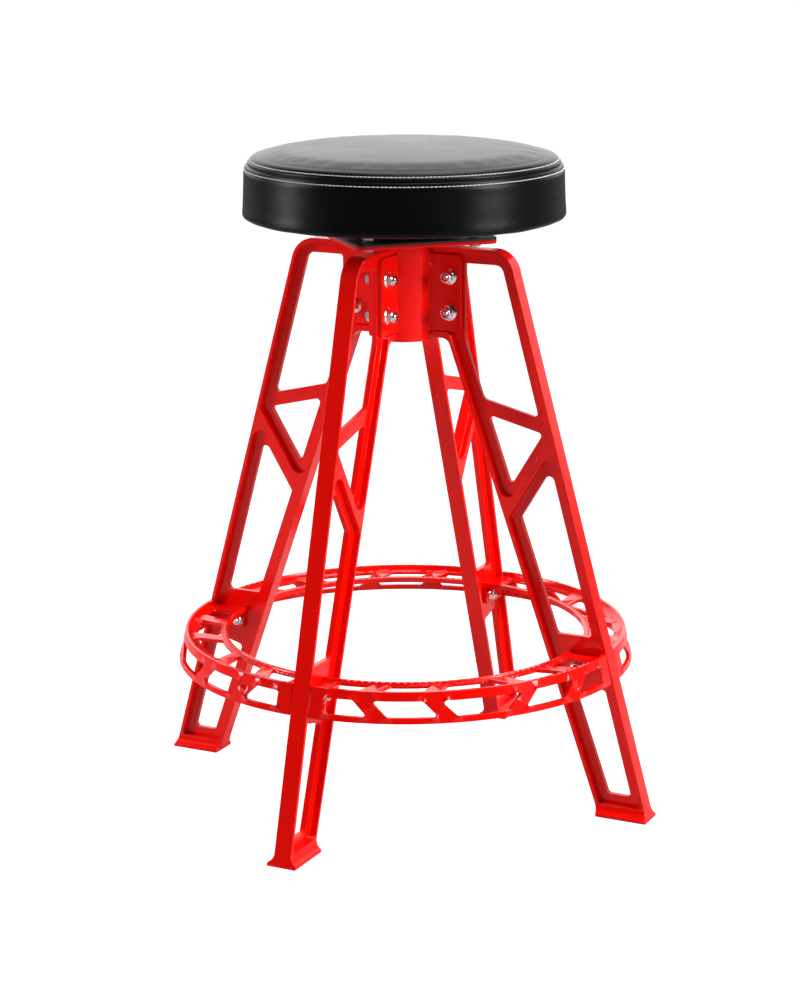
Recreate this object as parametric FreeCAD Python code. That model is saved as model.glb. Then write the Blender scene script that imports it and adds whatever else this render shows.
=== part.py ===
import FreeCAD, Part
import math
import os

from FreeCAD import Vector

# A swivel stool with a round padded seat on a bolted frame of four cast truss legs.
# Lengths are in millimetres and angles in degrees. The origin is on the floor, on the
# stool's upright axis, with +Z up. The legs stand on the -Y, +X, +Y and -X sides.

# Leg: outline of one casting in its upright plane
LEG_HEIGHT = 624.0
FOOT_RADIUS = 301.2
FOOT_DEPTH = 58.2
SHOULDER_RADIUS = 129.2
SHOULDER_ROUND = 29.0
ELBOW_RADIUS = 57.0
ELBOW_ROUND = 10.0
ROOT_HEIGHT = 100.5

# Leg: flanges round a thin web
LEG_WIDTH = 20.0
WEB_THICKNESS = 6.0
FLANGE_THICKNESS = 4.0
ARM_FLANGE = 5.0
ROOT_FLANGE = 7.0
ELBOW_POCKET_ROUND = 5.0

# Leg: foot that flares out to the floor
FOOT_WIDTH = 34.8
FLARE_HEIGHT = 14.0
FOOT_EDGE_HEIGHT = 3.6
FOOT_EDGE_ROUND = 1.0

# Leg: windows through the web, with a crossbar and a ribbed brace between them
OUTER_MARGIN = 15.0
INNER_MARGIN = 16.1
ARM_MARGIN = 17.0
ROOT_MARGIN = 2.7
CROSSBAR_DROP = 185.5
CROSSBAR_ANGLE = 13.64
CROSSBAR_WIDTH = 15.3
BRACE_DROP = 181.2
BRACE_ANGLE = 31.3
BRACE_WIDTH = 28.2
RIB_WIDTH = 8.0
RING_WEB_ABOVE = 14.1
RING_WEB_BELOW = 7.0
FOOT_WEB_HEIGHT = 24.5
TOP_WINDOW_ROUND = 10.0
CROSSBAR_ROUND = 8.0
WINDOW_ROUND = 4.0
APEX_ROUND = 6.0
POCKET_ROUND = 11.0
VERTEX_ROUND = 3.0

# Hub: column, pairs of ears for the legs and a square top plate
COLUMN_RADIUS = 35.0
COLUMN_WALL = 6.0
COLUMN_DROP = 4.0
WEB_END_GAP = 0.5
FLANGE_END_GAP = 4.0
EAR_REACH = 72.0
EAR_THICKNESS = 5.0
EAR_ROUND = 5.0
EAR_TOP_GAP = 3.0
EAR_BOTTOM_GAP = 0.5
ARM_GAP = 6.5
HUB_PLATE_THICKNESS = 4.0
PLATE_SIDE = 161.5
PLATE_ROUND = 10.0
PLATE_BOLT_SQUARE = 120.0

# Leg bolts: two flanged ones through each pair of ears
LEG_BOLT_HEAD = 8.1
LEG_NUT_HEIGHT = 10.7
LEG_BOLT_END = 0.8
LEG_BOLT_INSET = 14.0
LEG_BOLT_ABOVE = 21.5
LEG_BOLT_BELOW = 23.5
BOLT_FLANGE_RADIUS = 9.3
BOLT_FLANGE_HEIGHT = 1.8

# Thread and hexagon of every bolt, and the plain bolts of the foot ring and swivel plate
BOLT_RADIUS = 4.0
BOLT_ACROSS = 13.0
BOLT_HEAD = 5.3
NUT_HEIGHT = 6.5
BOLT_END = 3.0
THIN_NUT_HEIGHT = 4.0
THIN_BOLT_END = 0.2
HOLE_PLAY = 0.5
THREAD_PLAY = 0.1

# Foot ring: four quarters, each a holed plate with a holed skirt and a raised lip
RING_HEIGHT = 155.3
SKIRT_HEIGHT = 32.6
SKIRT_FLARE = 7.9
SKIRT_WALL = 4.0
LIP_HEIGHT = 4.9
RING_PLATE = 4.0
RING_DEPTH = 46.7
RIM_WIDTH = 6.0
RIM_ABOVE = 1.4
RIM_BELOW = 0.5
PLATE_MARGIN = 10.4
RIM_MARGIN = 1.0
SKIRT_MARGIN = 5.9
SKIRT_TOP_MARGIN = 0.6
RING_END_GAP = 1.5
RING_FLANGE_GAP = 1.0
TAB_THICKNESS = 5.0
TAB_INSET = 3.8
TAB_ROUND = 8.0
RING_BOLT_INSET = 11.0
RING_BOLT_HEIGHT = 12.7
WINDOW_START_ANGLE = 6.5
FIRST_STRUT_ANGLE = 15.4
SECOND_STRUT_ANGLE = 32.4
STRUT_WIDTH_ANGLE = 4.6
STRUT_SLANT_ANGLE = 4.0
RING_WINDOW_ROUND = 2.5

# Swivel: two embossed square plates on a ring of balls, held by a headed pivot
SHEET = 2.5
SWIVEL_GAP = 14.5
EMBOSS_RADIUS = 62.0
BALL_RADIUS = 4.5
BALL_CIRCLE_RADIUS = 50.0
BALL_COUNT = 12
GROOVE_DEPTH = 0.75
BALL_PLAY = 0.3
RETAINER_WIDTH = 16.0
RETAINER_THICKNESS = 1.5
PIVOT_RADIUS = 7.0
PIVOT_HEAD_RADIUS = 13.0
PIVOT_HEAD = 2.6
PIVOT_END_PLAY = 0.3
RUNNING_FIT = 0.05

# Seat: wooden board, foam and a sewn cover, with screws up into the board
SEAT_RADIUS = 177.2
SEAT_HEIGHT = 75.6
SEAM_HEIGHT = 59.0
SIDE_ANGLE = 2.2
SHOULDER_BEND = 26.7
CROWN_RADIUS = 3240.0
COVER_THICKNESS = 1.2
COVER_PLAY = 0.3
HEM_WIDTH = 9.0
HEM_ROUND = 5.0
BOARD_THICKNESS = 12.0
FOAM_EDGE = 5.0
SCREW_RADIUS = 3.0
SCREW_HEAD_RADIUS = 5.5
SCREW_HEAD = 3.7
SCREW_BITE = 9.5

# Heights and radii that follow from the sizes above
root_bottom = LEG_HEIGHT - ROOT_HEIGHT
arm_underside = LEG_HEIGHT - ARM_FLANGE
root_floor = root_bottom + ROOT_FLANGE
ear_bottom = root_floor + EAR_BOTTOM_GAP
ear_top = arm_underside - EAR_TOP_GAP
half_web = WEB_THICKNESS / 2
half_leg = LEG_WIDTH / 2
ear_face = half_web + EAR_THICKNESS
leg_bolt_radius_out = EAR_REACH - LEG_BOLT_INSET
leg_bolt_heights = (ear_bottom + LEG_BOLT_ABOVE, ear_top - LEG_BOLT_BELOW)
hub_plate_bottom = LEG_HEIGHT + ARM_GAP
hub_plate_top = hub_plate_bottom + HUB_PLATE_THICKNESS
lower_plate_top = hub_plate_top + SHEET
upper_plate_bottom = lower_plate_top + SWIVEL_GAP
seat_bottom = upper_plate_bottom + SHEET
emboss_rise = SWIVEL_GAP / 2 - BALL_RADIUS + GROOVE_DEPTH
ball_height = lower_plate_top + SWIVEL_GAP / 2
plate_bolt_radius_out = PLATE_BOLT_SQUARE / math.sqrt(2)
ring_top = RING_HEIGHT + SKIRT_HEIGHT
ring_plate_top = ring_top - LIP_HEIGHT
ring_plate_bottom = ring_plate_top - RING_PLATE
tab_face = half_web + TAB_THICKNESS
ring_bolt_height = RING_HEIGHT + RING_BOLT_HEIGHT
board_bottom = seat_bottom + COVER_THICKNESS
board_top = board_bottom + BOARD_THICKNESS

# Each leg's name, its turn from +X about the axis and the side that its nuts are on
LEGS = (("front", -90, 1), ("right", 0, -1), ("back", 90, -1), ("left", 180, 1))
QUARTERS = (("back_right", 0), ("back_left", 90), ("front_left", 180), ("front_right", 270))
QUARTER_TURN = 90
FULL_TURN = 360
HEXAGON_SIDES = 6


# Points, lines and outlines

def polar(radius, angle, z=0.0):
    """A point at this distance and direction from the stool's axis."""
    turn = math.radians(angle)
    return Vector(radius * math.cos(turn), radius * math.sin(turn), z)


def leaning(point, lean):
    """A line of the leg's plane through the point, leaning out from upright."""
    turn = math.radians(lean)
    return point, Vector(math.sin(turn), 0, math.cos(turn))


def between(start, end):
    """The line of the leg's plane from one point towards another."""
    return start, (end - start).normalize()


def level(z):
    """The level line of the leg's plane at this height."""
    return Vector(0, 0, z), Vector(1, 0, 0)


def plumb(r):
    """The upright line of the leg's plane at this distance from the axis."""
    return Vector(r, 0, 0), Vector(0, 0, 1)


def shifted(line, distance):
    """The line moved square to itself, to its right as it runs."""
    point, along = line
    return point + Vector(along.z, 0, -along.x) * distance, along


def meet(first, second):
    """Where two lines of the leg's plane cross."""
    start, along = first
    other, across = second
    gap = other - start
    spread = along.x * across.z - along.z * across.x
    return start + along * ((gap.x * across.z - gap.z * across.x) / spread)


def rounded_wire(corners):
    """A closed flat wire through the corners, each given with its own radius."""
    bends = []
    for index, (point, radius) in enumerate(corners):
        back = (corners[index - 1][0] - point).normalize()
        ahead = (corners[(index + 1) % len(corners)][0] - point).normalize()
        half = back.getAngle(ahead) / 2
        reach = radius / math.tan(half)
        middle = point + (back + ahead).normalize() * (radius / math.sin(half) - radius)
        bends.append((point + back * reach, middle, point + ahead * reach, radius))
    edges = []
    for index, (start, middle, end, radius) in enumerate(bends):
        if radius > 0:
            edges.append(Part.Arc(start, middle, end).toShape())
        following = bends[(index + 1) % len(bends)][0]
        edges.append(Part.LineSegment(end, following).toShape())
    return Part.Wire(edges)


def prism(corners, run):
    """A flat outline with rounded corners, extruded along the run."""
    return Part.Face(rounded_wire(corners)).extrude(run)


def leg_prism(corners, near, far):
    """An outline of the leg's plane, extruded from one side distance to another."""
    placed = [(point + Vector(0, near, 0), radius) for point, radius in corners]
    return prism(placed, Vector(0, far - near, 0))


def arc_about(centre, start, end):
    """The short arc about a centre from one point to another."""
    middle = ((start - centre) + (end - centre)).normalize()
    return Part.Arc(start, centre + middle * (start - centre).Length, end).toShape()


def upright_bend(rise, inset):
    """Radius of the arc that starts upright and moves over by the inset in this rise."""
    return (rise * rise + inset * inset) / (2 * inset)


def reach_of_circle(start, along, centre, radius):
    """How far the line from the start runs until it leaves the circle."""
    gap = start - centre
    ahead = gap.dot(along)
    return math.sqrt(ahead ** 2 - gap.dot(gap) + radius ** 2) - ahead


def turned(shape, angle):
    """A copy of the shape, turned about the stool's axis."""
    copy = shape.copy()
    copy.rotate(Vector(0, 0, 0), Vector(0, 0, 1), angle)
    return copy


def round_bar(start, along, radius, length):
    """A straight round bar or hole."""
    return Part.makeCylinder(radius, length, start, along)


# Leg

def leg_lines():
    """The named straight lines that the leg, its pockets and its windows share."""
    outer = between(Vector(FOOT_RADIUS, 0, 0), Vector(SHOULDER_RADIUS, 0, LEG_HEIGHT))
    inner = between(Vector(FOOT_RADIUS - FOOT_DEPTH, 0, 0), Vector(ELBOW_RADIUS, 0, root_bottom))
    crossbar_start = meet(outer, level(LEG_HEIGHT - CROSSBAR_DROP))
    crossbar = leaning(crossbar_start, QUARTER_TURN + CROSSBAR_ANGLE)
    brace = leaning(meet(outer, level(LEG_HEIGHT - BRACE_DROP)), BRACE_ANGLE)
    ring_end = meet(outer, level(RING_HEIGHT - RING_WEB_BELOW))
    across = Vector(outer[1].z, 0, -outer[1].x)
    return {
        "outer": outer,
        "inner": inner,
        "outer_flange": shifted(outer, -FLANGE_THICKNESS),
        "inner_flange": shifted(inner, FLANGE_THICKNESS),
        "outer_window": shifted(outer, -OUTER_MARGIN),
        "inner_window": shifted(inner, INNER_MARGIN),
        "crossbar_top": crossbar,
        "crossbar_bottom": shifted(crossbar, CROSSBAR_WIDTH),
        "brace_top": brace,
        "rib_top": shifted(brace, (BRACE_WIDTH - RIB_WIDTH) / 2),
        "rib_bottom": shifted(brace, (BRACE_WIDTH + RIB_WIDTH) / 2),
        "brace_bottom": shifted(brace, BRACE_WIDTH),
        "ring_web_bottom": (ring_end, across),
    }


def leg_outline(lines):
    """The leg's side view, from its foot to the root that meets the hub."""
    root_end = plumb(COLUMN_RADIUS + FLANGE_END_GAP)
    return [
        (meet(lines["outer"], level(0)), 0),
        (meet(lines["outer"], level(LEG_HEIGHT)), SHOULDER_ROUND),
        (meet(root_end, level(LEG_HEIGHT)), 0),
        (meet(root_end, level(root_bottom)), 0),
        (meet(lines["inner"], level(root_bottom)), ELBOW_ROUND),
        (meet(lines["inner"], level(0)), 0),
    ]


def upper_pocket(lines):
    """The recess beside the web above the rib, open towards the hub."""
    open_end = plumb(COLUMN_RADIUS)
    return [
        (meet(lines["outer_flange"], level(arm_underside)), SHOULDER_ROUND - FLANGE_THICKNESS),
        (meet(open_end, level(arm_underside)), 0),
        (meet(open_end, level(root_floor)), 0),
        (meet(lines["inner_flange"], level(root_floor)), ELBOW_POCKET_ROUND),
        (meet(lines["inner_flange"], lines["rib_top"]), POCKET_ROUND),
        (meet(lines["outer_flange"], lines["rib_top"]), CROSSBAR_ROUND),
    ]


def lower_pocket(lines):
    """The recess beside the web from the rib down to the foot."""
    return [
        (meet(lines["outer_flange"], lines["rib_bottom"]), POCKET_ROUND),
        (meet(lines["inner_flange"], lines["rib_bottom"]), VERTEX_ROUND),
        (meet(lines["inner_flange"], level(FLARE_HEIGHT)), WINDOW_ROUND),
        (meet(lines["outer_flange"], level(FLARE_HEIGHT)), WINDOW_ROUND),
    ]


def leg_windows(lines):
    """The four openings through the web, from the arm down to the foot."""
    hub_side = plumb(EAR_REACH + ROOT_MARGIN)
    outer = lines["outer_window"]
    inner = lines["inner_window"]
    arm = [
        (meet(hub_side, level(LEG_HEIGHT - ARM_MARGIN)), VERTEX_ROUND),
        (meet(outer, level(LEG_HEIGHT - ARM_MARGIN)), TOP_WINDOW_ROUND),
        (meet(outer, lines["crossbar_top"]), WINDOW_ROUND),
        (meet(inner, lines["crossbar_top"]), CROSSBAR_ROUND),
        (meet(inner, hub_side), VERTEX_ROUND),
    ]
    middle = [
        (meet(inner, lines["crossbar_bottom"]), WINDOW_ROUND),
        (meet(lines["brace_top"], lines["crossbar_bottom"]), WINDOW_ROUND),
        (meet(lines["brace_top"], inner), WINDOW_ROUND),
    ]
    long_one = [
        (meet(outer, lines["brace_bottom"]), APEX_ROUND),
        (meet(outer, level(ring_top + RING_WEB_ABOVE)), WINDOW_ROUND),
        (meet(inner, level(ring_top + RING_WEB_ABOVE)), WINDOW_ROUND),
        (meet(inner, lines["brace_bottom"]), VERTEX_ROUND),
    ]
    lowest = [
        (meet(inner, lines["ring_web_bottom"]), WINDOW_ROUND),
        (meet(outer, lines["ring_web_bottom"]), WINDOW_ROUND),
        (meet(outer, level(FOOT_WEB_HEIGHT)), WINDOW_ROUND),
        (meet(inner, level(FOOT_WEB_HEIGHT)), WINDOW_ROUND),
    ]
    return [arm, middle, long_one, lowest]


def foot_section():
    """The foot's end view: hollow flares on both sides, down to a flat sole."""
    half_foot = FOOT_WIDTH / 2
    bend = upright_bend(FLARE_HEIGHT - FOOT_EDGE_HEIGHT, half_foot - half_leg)
    edges = []
    for side in (1, -1):
        top = Vector(0, side * half_leg, FLARE_HEIGHT)
        flare = Vector(0, side * half_foot, FOOT_EDGE_HEIGHT)
        edge = Vector(0, side * half_foot, FOOT_EDGE_ROUND)
        sole = Vector(0, side * (half_foot - FOOT_EDGE_ROUND), 0)
        edges.append(Part.LineSegment(Vector(0, 0, FLARE_HEIGHT), top).toShape())
        edges.append(arc_about(top + Vector(0, side * bend, 0), top, flare))
        edges.append(Part.LineSegment(flare, edge).toShape())
        edges.append(arc_about(Vector(0, sole.y, FOOT_EDGE_ROUND), edge, sole))
        edges.append(Part.LineSegment(sole, Vector(0, 0, 0)).toShape())
    return Part.Face(Part.Wire(Part.__sortEdges__(edges)))


def make_leg():
    """One leg casting on the +X side of the stool."""
    lines = leg_lines()
    outline = leg_outline(lines)
    body = leg_prism(outline, -half_leg, half_leg)
    cuts = []
    for pocket in (upper_pocket(lines), lower_pocket(lines)):
        cuts.append(leg_prism(pocket, half_web, half_leg))
        cuts.append(leg_prism(pocket, -half_leg, -half_web))
    for window in leg_windows(lines):
        cuts.append(leg_prism(window, -half_leg, half_leg))
    tongue = Part.makeBox(
        FLANGE_END_GAP - WEB_END_GAP,
        WEB_THICKNESS,
        arm_underside - root_floor,
        Vector(COLUMN_RADIUS + WEB_END_GAP, -half_web, root_floor),
    )
    flare = foot_section().extrude(Vector(FOOT_RADIUS, 0, 0))
    foot = flare.common(leg_prism(outline, -FOOT_WIDTH / 2, FOOT_WIDTH / 2))
    body = body.cut(cuts).fuse([tongue, foot]).removeSplitter()
    holes = []
    for height in leg_bolt_heights:
        holes.append(cross_hole(leg_bolt_radius_out, height, half_leg))
    holes.append(cross_hole(ring_bolt_radius_out(), ring_bolt_height, half_leg))
    return body.cut(holes)


def cross_hole(r, z, half_length):
    """A bolt's hole square to the leg's plane."""
    start = Vector(r, -half_length, z)
    return round_bar(start, Vector(0, 1, 0), BOLT_RADIUS + HOLE_PLAY, 2 * half_length)


# Hub

def square_plate(bottom, thickness):
    """A square sheet with rounded corners, which lie over the legs."""
    half = PLATE_SIDE / 2
    corners = []
    for x, y in ((half, half), (-half, half), (-half, -half), (half, -half)):
        corners.append((Vector(x, y, bottom), PLATE_ROUND))
    return turned(prism(corners, Vector(0, 0, thickness)), QUARTER_TURN / 2)


def plate_holes(bottom, thickness, radius):
    """Four holes down through a square plate, one over each leg."""
    holes = []
    for name, angle, side in LEGS:
        start = polar(plate_bolt_radius_out, angle, bottom)
        holes.append(round_bar(start, Vector(0, 0, 1), radius, thickness))
    return holes


def make_ear():
    """One of the two ears that hold a leg, beside the +X leg's web."""
    outline = [
        (Vector(COLUMN_RADIUS - COLUMN_WALL / 2, 0, ear_bottom), 0),
        (Vector(EAR_REACH, 0, ear_bottom), EAR_ROUND),
        (Vector(EAR_REACH, 0, ear_top), EAR_ROUND),
        (Vector(COLUMN_RADIUS - COLUMN_WALL / 2, 0, ear_top), 0),
    ]
    ear = leg_prism(outline, half_web, ear_face)
    holes = []
    for height in leg_bolt_heights:
        holes.append(cross_hole(leg_bolt_radius_out, height, ear_face))
    return ear.cut(holes)


def make_hub():
    """Column, eight ears and top plate in one casting."""
    bottom = root_bottom - COLUMN_DROP
    height = hub_plate_bottom - bottom
    column = round_bar(Vector(0, 0, bottom), Vector(0, 0, 1), COLUMN_RADIUS, height)
    ear = make_ear()
    ears = []
    for name, angle, side in LEGS:
        ears.append(turned(ear, angle))
        ears.append(turned(ear.mirror(Vector(0, 0, 0), Vector(0, 1, 0)), angle))
    plate = square_plate(hub_plate_bottom, HUB_PLATE_THICKNESS)
    hub = column.fuse(ears + [plate])
    bore = round_bar(Vector(0, 0, bottom), Vector(0, 0, 1), COLUMN_RADIUS - COLUMN_WALL, height)
    holes = plate_holes(hub_plate_bottom, HUB_PLATE_THICKNESS, BOLT_RADIUS + HOLE_PLAY)
    return hub.cut([bore] + holes).removeSplitter()


# Fasteners, each with its seat at z = 0

def hexagon(bottom, height):
    """A six-sided bar, as wide across its flats as a bolt's head."""
    corner = BOLT_ACROSS / math.sqrt(3)
    points = [polar(corner, FULL_TURN * side / HEXAGON_SIDES, bottom) for side in range(HEXAGON_SIDES)]
    return Part.Face(Part.makePolygon(points + points[:1])).extrude(Vector(0, 0, height))


def make_bolt(head, length, flange=0.0):
    """A hexagon bolt with its head above its seat and its shank below."""
    shank = round_bar(Vector(0, 0, -length), Vector(0, 0, 1), BOLT_RADIUS, length)
    solids = [hexagon(0, head)]
    if flange > 0:
        solids.append(round_bar(Vector(0, 0, 0), Vector(0, 0, 1), flange, BOLT_FLANGE_HEIGHT))
    return shank.fuse(solids).removeSplitter()


def make_nut(height, flange=0.0):
    """A hexagon nut below its seat."""
    nut = hexagon(-height, height)
    if flange > 0:
        start = Vector(0, 0, -BOLT_FLANGE_HEIGHT)
        collar = round_bar(start, Vector(0, 0, 1), flange, BOLT_FLANGE_HEIGHT)
        nut = nut.fuse(collar).removeSplitter()
    hole = round_bar(Vector(0, 0, -height), Vector(0, 0, 1), BOLT_RADIUS + THREAD_PLAY, height)
    return nut.cut(hole)


def placed(shape, seat, along):
    """A copy of a fastener with its seat at the point and its +Z along the direction."""
    copy = shape.copy()
    copy.Placement = FreeCAD.Placement(seat, FreeCAD.Rotation(Vector(0, 0, 1), along))
    return copy


def across_legs(bolt, nut, r, heights, face):
    """A bolt and a nut through each leg's sides at each height, nuts on the leg's nut side."""
    bolts = []
    nuts = []
    for name, angle, side in LEGS:
        for height in heights:
            head_seat = Vector(r, -side * face, height)
            nut_seat = Vector(r, side * face, height)
            bolts.append(turned(placed(bolt, head_seat, Vector(0, -side, 0)), angle))
            nuts.append(turned(placed(nut, nut_seat, Vector(0, -side, 0)), angle))
    return Part.makeCompound(bolts), Part.makeCompound(nuts)


def make_leg_fasteners():
    """The flanged bolts and nuts that clamp each leg's web between its ears."""
    length = 2 * ear_face + LEG_NUT_HEIGHT + LEG_BOLT_END
    bolt = make_bolt(LEG_BOLT_HEAD, length, BOLT_FLANGE_RADIUS)
    nut = make_nut(LEG_NUT_HEIGHT, BOLT_FLANGE_RADIUS)
    return across_legs(bolt, nut, leg_bolt_radius_out, leg_bolt_heights, ear_face)


def make_ring_fasteners():
    """The bolts and nuts that clamp two ring tabs to each leg's web."""
    length = 2 * tab_face + NUT_HEIGHT + BOLT_END
    bolt = make_bolt(BOLT_HEAD, length)
    nut = make_nut(NUT_HEIGHT)
    return across_legs(bolt, nut, ring_bolt_radius_out(), (ring_bolt_height,), tab_face)


def make_plate_fasteners():
    """The bolts that hold the swivel's lower plate down on the hub, and their thin nuts."""
    grip = SHEET + HUB_PLATE_THICKNESS
    length = grip + THIN_NUT_HEIGHT + THIN_BOLT_END
    bolt = make_bolt(BOLT_HEAD, length)
    nut = make_nut(THIN_NUT_HEIGHT)
    bolts = []
    nuts = []
    for name, angle, side in LEGS:
        bolts.append(placed(bolt, polar(plate_bolt_radius_out, angle, lower_plate_top), Vector(0, 0, 1)))
        nuts.append(placed(nut, polar(plate_bolt_radius_out, angle, hub_plate_bottom), Vector(0, 0, 1)))
    return Part.makeCompound(bolts), Part.makeCompound(nuts)


# Foot ring

def skirt_radius(z):
    """Outer radius of the ring's skirt, which ends flush with the legs at its top."""
    top = meet(leg_lines()["outer"], level(ring_top)).x
    return top + SKIRT_FLARE * (ring_top - z) / SKIRT_HEIGHT


def ring_inner_radius():
    """Radius of the ring's inner rim."""
    return skirt_radius(ring_top) - RING_DEPTH


def ring_bolt_radius_out():
    """Distance of the ring's bolts from the stool's axis."""
    return ring_inner_radius() + RING_BOLT_INSET


def ring_section():
    """Section of the ring: slanted skirt with its lip, flat plate and inner rim."""
    inner = ring_inner_radius()
    rim = inner + RIM_WIDTH
    rim_top = ring_plate_top + RIM_ABOVE
    rim_bottom = ring_plate_bottom - RIM_BELOW
    points = [
        Vector(skirt_radius(RING_HEIGHT), 0, RING_HEIGHT),
        Vector(skirt_radius(ring_top), 0, ring_top),
        Vector(skirt_radius(ring_top) - SKIRT_WALL, 0, ring_top),
        Vector(skirt_radius(ring_plate_top) - SKIRT_WALL, 0, ring_plate_top),
        Vector(rim, 0, ring_plate_top),
        Vector(rim, 0, rim_top),
        Vector(inner, 0, rim_top),
        Vector(inner, 0, rim_bottom),
        Vector(rim, 0, rim_bottom),
        Vector(rim, 0, ring_plate_bottom),
        Vector(skirt_radius(ring_plate_bottom) - SKIRT_WALL, 0, ring_plate_bottom),
        Vector(skirt_radius(RING_HEIGHT) - SKIRT_WALL, 0, RING_HEIGHT),
    ]
    return Part.Face(Part.makePolygon(points + points[:1]))


def window_spans():
    """Edges of the five windows of a quarter, each as its angle by the ring's top outer
    corner and its angle where the slanted struts end."""
    edges = [(WINDOW_START_ANGLE, WINDOW_START_ANGLE)]
    for strut in (FIRST_STRUT_ANGLE, SECOND_STRUT_ANGLE):
        for side in (-STRUT_WIDTH_ANGLE / 2, STRUT_WIDTH_ANGLE / 2):
            edges.append((strut + side, strut + side + STRUT_SLANT_ANGLE))
    edges += [(QUARTER_TURN - corner, QUARTER_TURN - end) for corner, end in reversed(edges)]
    return list(zip(edges[0::2], edges[1::2]))


def skirt_window(start, end):
    """A cutter for one window of the skirt, driven in from outside."""
    middle = (start[0] + end[0]) / 2
    radius = skirt_radius((RING_HEIGHT + ring_plate_bottom) / 2)
    near = skirt_radius(ring_top) - 2 * SKIRT_WALL
    reach = skirt_radius(RING_HEIGHT) - near
    top = ring_plate_bottom - SKIRT_TOP_MARGIN
    bottom = RING_HEIGHT + SKIRT_MARGIN
    corners = []
    for angle, z in ((start[0], top), (end[0], top), (end[1], bottom), (start[1], bottom)):
        aside = radius * math.sin(math.radians(angle - middle))
        corners.append((Vector(near, aside, z), RING_WINDOW_ROUND))
    return turned(prism(corners, Vector(reach, 0, 0)), middle)


def plate_window(start, end):
    """A cutter for one window of the plate, between the rim and the skirt."""
    inner = ring_inner_radius() + RIM_WIDTH + RIM_MARGIN
    outer = skirt_radius(ring_plate_top) - SKIRT_WALL - PLATE_MARGIN
    z = ring_plate_bottom
    outer_arc = Part.Arc(
        polar(outer, start[0], z), polar(outer, (start[0] + end[0]) / 2, z), polar(outer, end[0], z)
    )
    inner_arc = Part.Arc(
        polar(inner, start[1], z), polar(inner, (start[1] + end[1]) / 2, z), polar(inner, end[1], z)
    )
    sides = [
        Part.LineSegment(polar(inner, start[1], z), polar(outer, start[0], z)).toShape(),
        Part.LineSegment(polar(inner, end[1], z), polar(outer, end[0], z)).toShape(),
    ]
    edges = Part.__sortEdges__([outer_arc.toShape(), inner_arc.toShape()] + sides)
    cutter = Part.Face(Part.Wire(edges)).extrude(Vector(0, 0, RING_PLATE))
    upright = [edge for edge in cutter.Edges if edge.BoundBox.ZLength > RING_PLATE / 2]
    return cutter.makeFillet(RING_WINDOW_ROUND, upright)


def flange_room():
    """The space that the ring leaves round the +X leg's outer flange."""
    lines = leg_lines()
    edge = shifted(lines["outer_flange"], -RING_FLANGE_GAP)
    far = plumb(2 * FOOT_RADIUS)
    outline = [
        (meet(edge, level(RING_HEIGHT - SKIRT_HEIGHT)), 0),
        (meet(edge, level(ring_top + SKIRT_HEIGHT)), 0),
        (meet(far, level(ring_top + SKIRT_HEIGHT)), 0),
        (meet(far, level(RING_HEIGHT - SKIRT_HEIGHT)), 0),
    ]
    return leg_prism(outline, 0, half_leg + RING_END_GAP)


def ring_tab():
    """The tab that turns down from the ring's plate beside the +X leg's web."""
    edge = shifted(leg_lines()["outer_flange"], -RING_FLANGE_GAP)
    inner = plumb(ring_inner_radius() + TAB_INSET)
    outline = [
        (meet(inner, level(ring_plate_top)), 0),
        (meet(edge, level(ring_plate_top)), 0),
        (meet(edge, level(RING_HEIGHT)), 0),
        (meet(inner, level(RING_HEIGHT)), TAB_ROUND),
    ]
    return leg_prism(outline, half_web, tab_face)


def make_ring_quarter():
    """The quarter of the foot ring between the +X and +Y legs."""
    quarter = ring_section().revolve(Vector(0, 0, 0), Vector(0, 0, 1), QUARTER_TURN)
    room = flange_room()
    tab = ring_tab()
    hole = cross_hole(ring_bolt_radius_out(), ring_bolt_height, 2 * tab_face)
    across = Vector(1, -1, 0)
    reach = 2 * FOOT_RADIUS
    clear = Part.makeBox(reach, half_web, ring_top + SKIRT_HEIGHT)
    cuts = []
    for shape in (clear, room, hole):
        cuts.append(shape)
        cuts.append(shape.mirror(Vector(0, 0, 0), across))
    for start, end in window_spans():
        cuts.append(skirt_window(start, end))
        cuts.append(plate_window(start, end))
    tabs = [tab, tab.mirror(Vector(0, 0, 0), across)]
    return quarter.fuse(tabs).cut(cuts).removeSplitter()


# Swivel

def make_swivel_plate():
    """An embossed square plate with its flat side at z = 0 and its ball groove on top."""
    plate = square_plate(0, SHEET)
    inset = SHEET * math.tan(math.radians(QUARTER_TURN / 4))
    outside = Part.makeCone(EMBOSS_RADIUS + emboss_rise, EMBOSS_RADIUS, emboss_rise, Vector(0, 0, SHEET))
    dish = Part.makeCone(EMBOSS_RADIUS + emboss_rise - inset, EMBOSS_RADIUS - inset, emboss_rise)
    middle = Vector(0, 0, SHEET + SWIVEL_GAP / 2)
    groove = Part.makeTorus(BALL_CIRCLE_RADIUS, BALL_RADIUS + BALL_PLAY, middle)
    bore = round_bar(Vector(0, 0, 0), Vector(0, 0, 1), PIVOT_RADIUS + RUNNING_FIT, SWIVEL_GAP)
    return plate.fuse(outside).cut([dish, groove, bore]).removeSplitter()


def make_lower_plate():
    """The swivel's fixed plate, bolted down on the hub."""
    plate = make_swivel_plate()
    plate.translate(Vector(0, 0, hub_plate_top))
    return plate.cut(plate_holes(hub_plate_top, SHEET, BOLT_RADIUS + HOLE_PLAY))


def make_upper_plate():
    """The swivel's turning plate, the same pressing the other way up."""
    plate = make_swivel_plate().mirror(Vector(0, 0, 0), Vector(0, 0, 1))
    plate.translate(Vector(0, 0, seat_bottom))
    return plate.cut(plate_holes(upper_plate_bottom, SHEET, SCREW_RADIUS + HOLE_PLAY))


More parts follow.
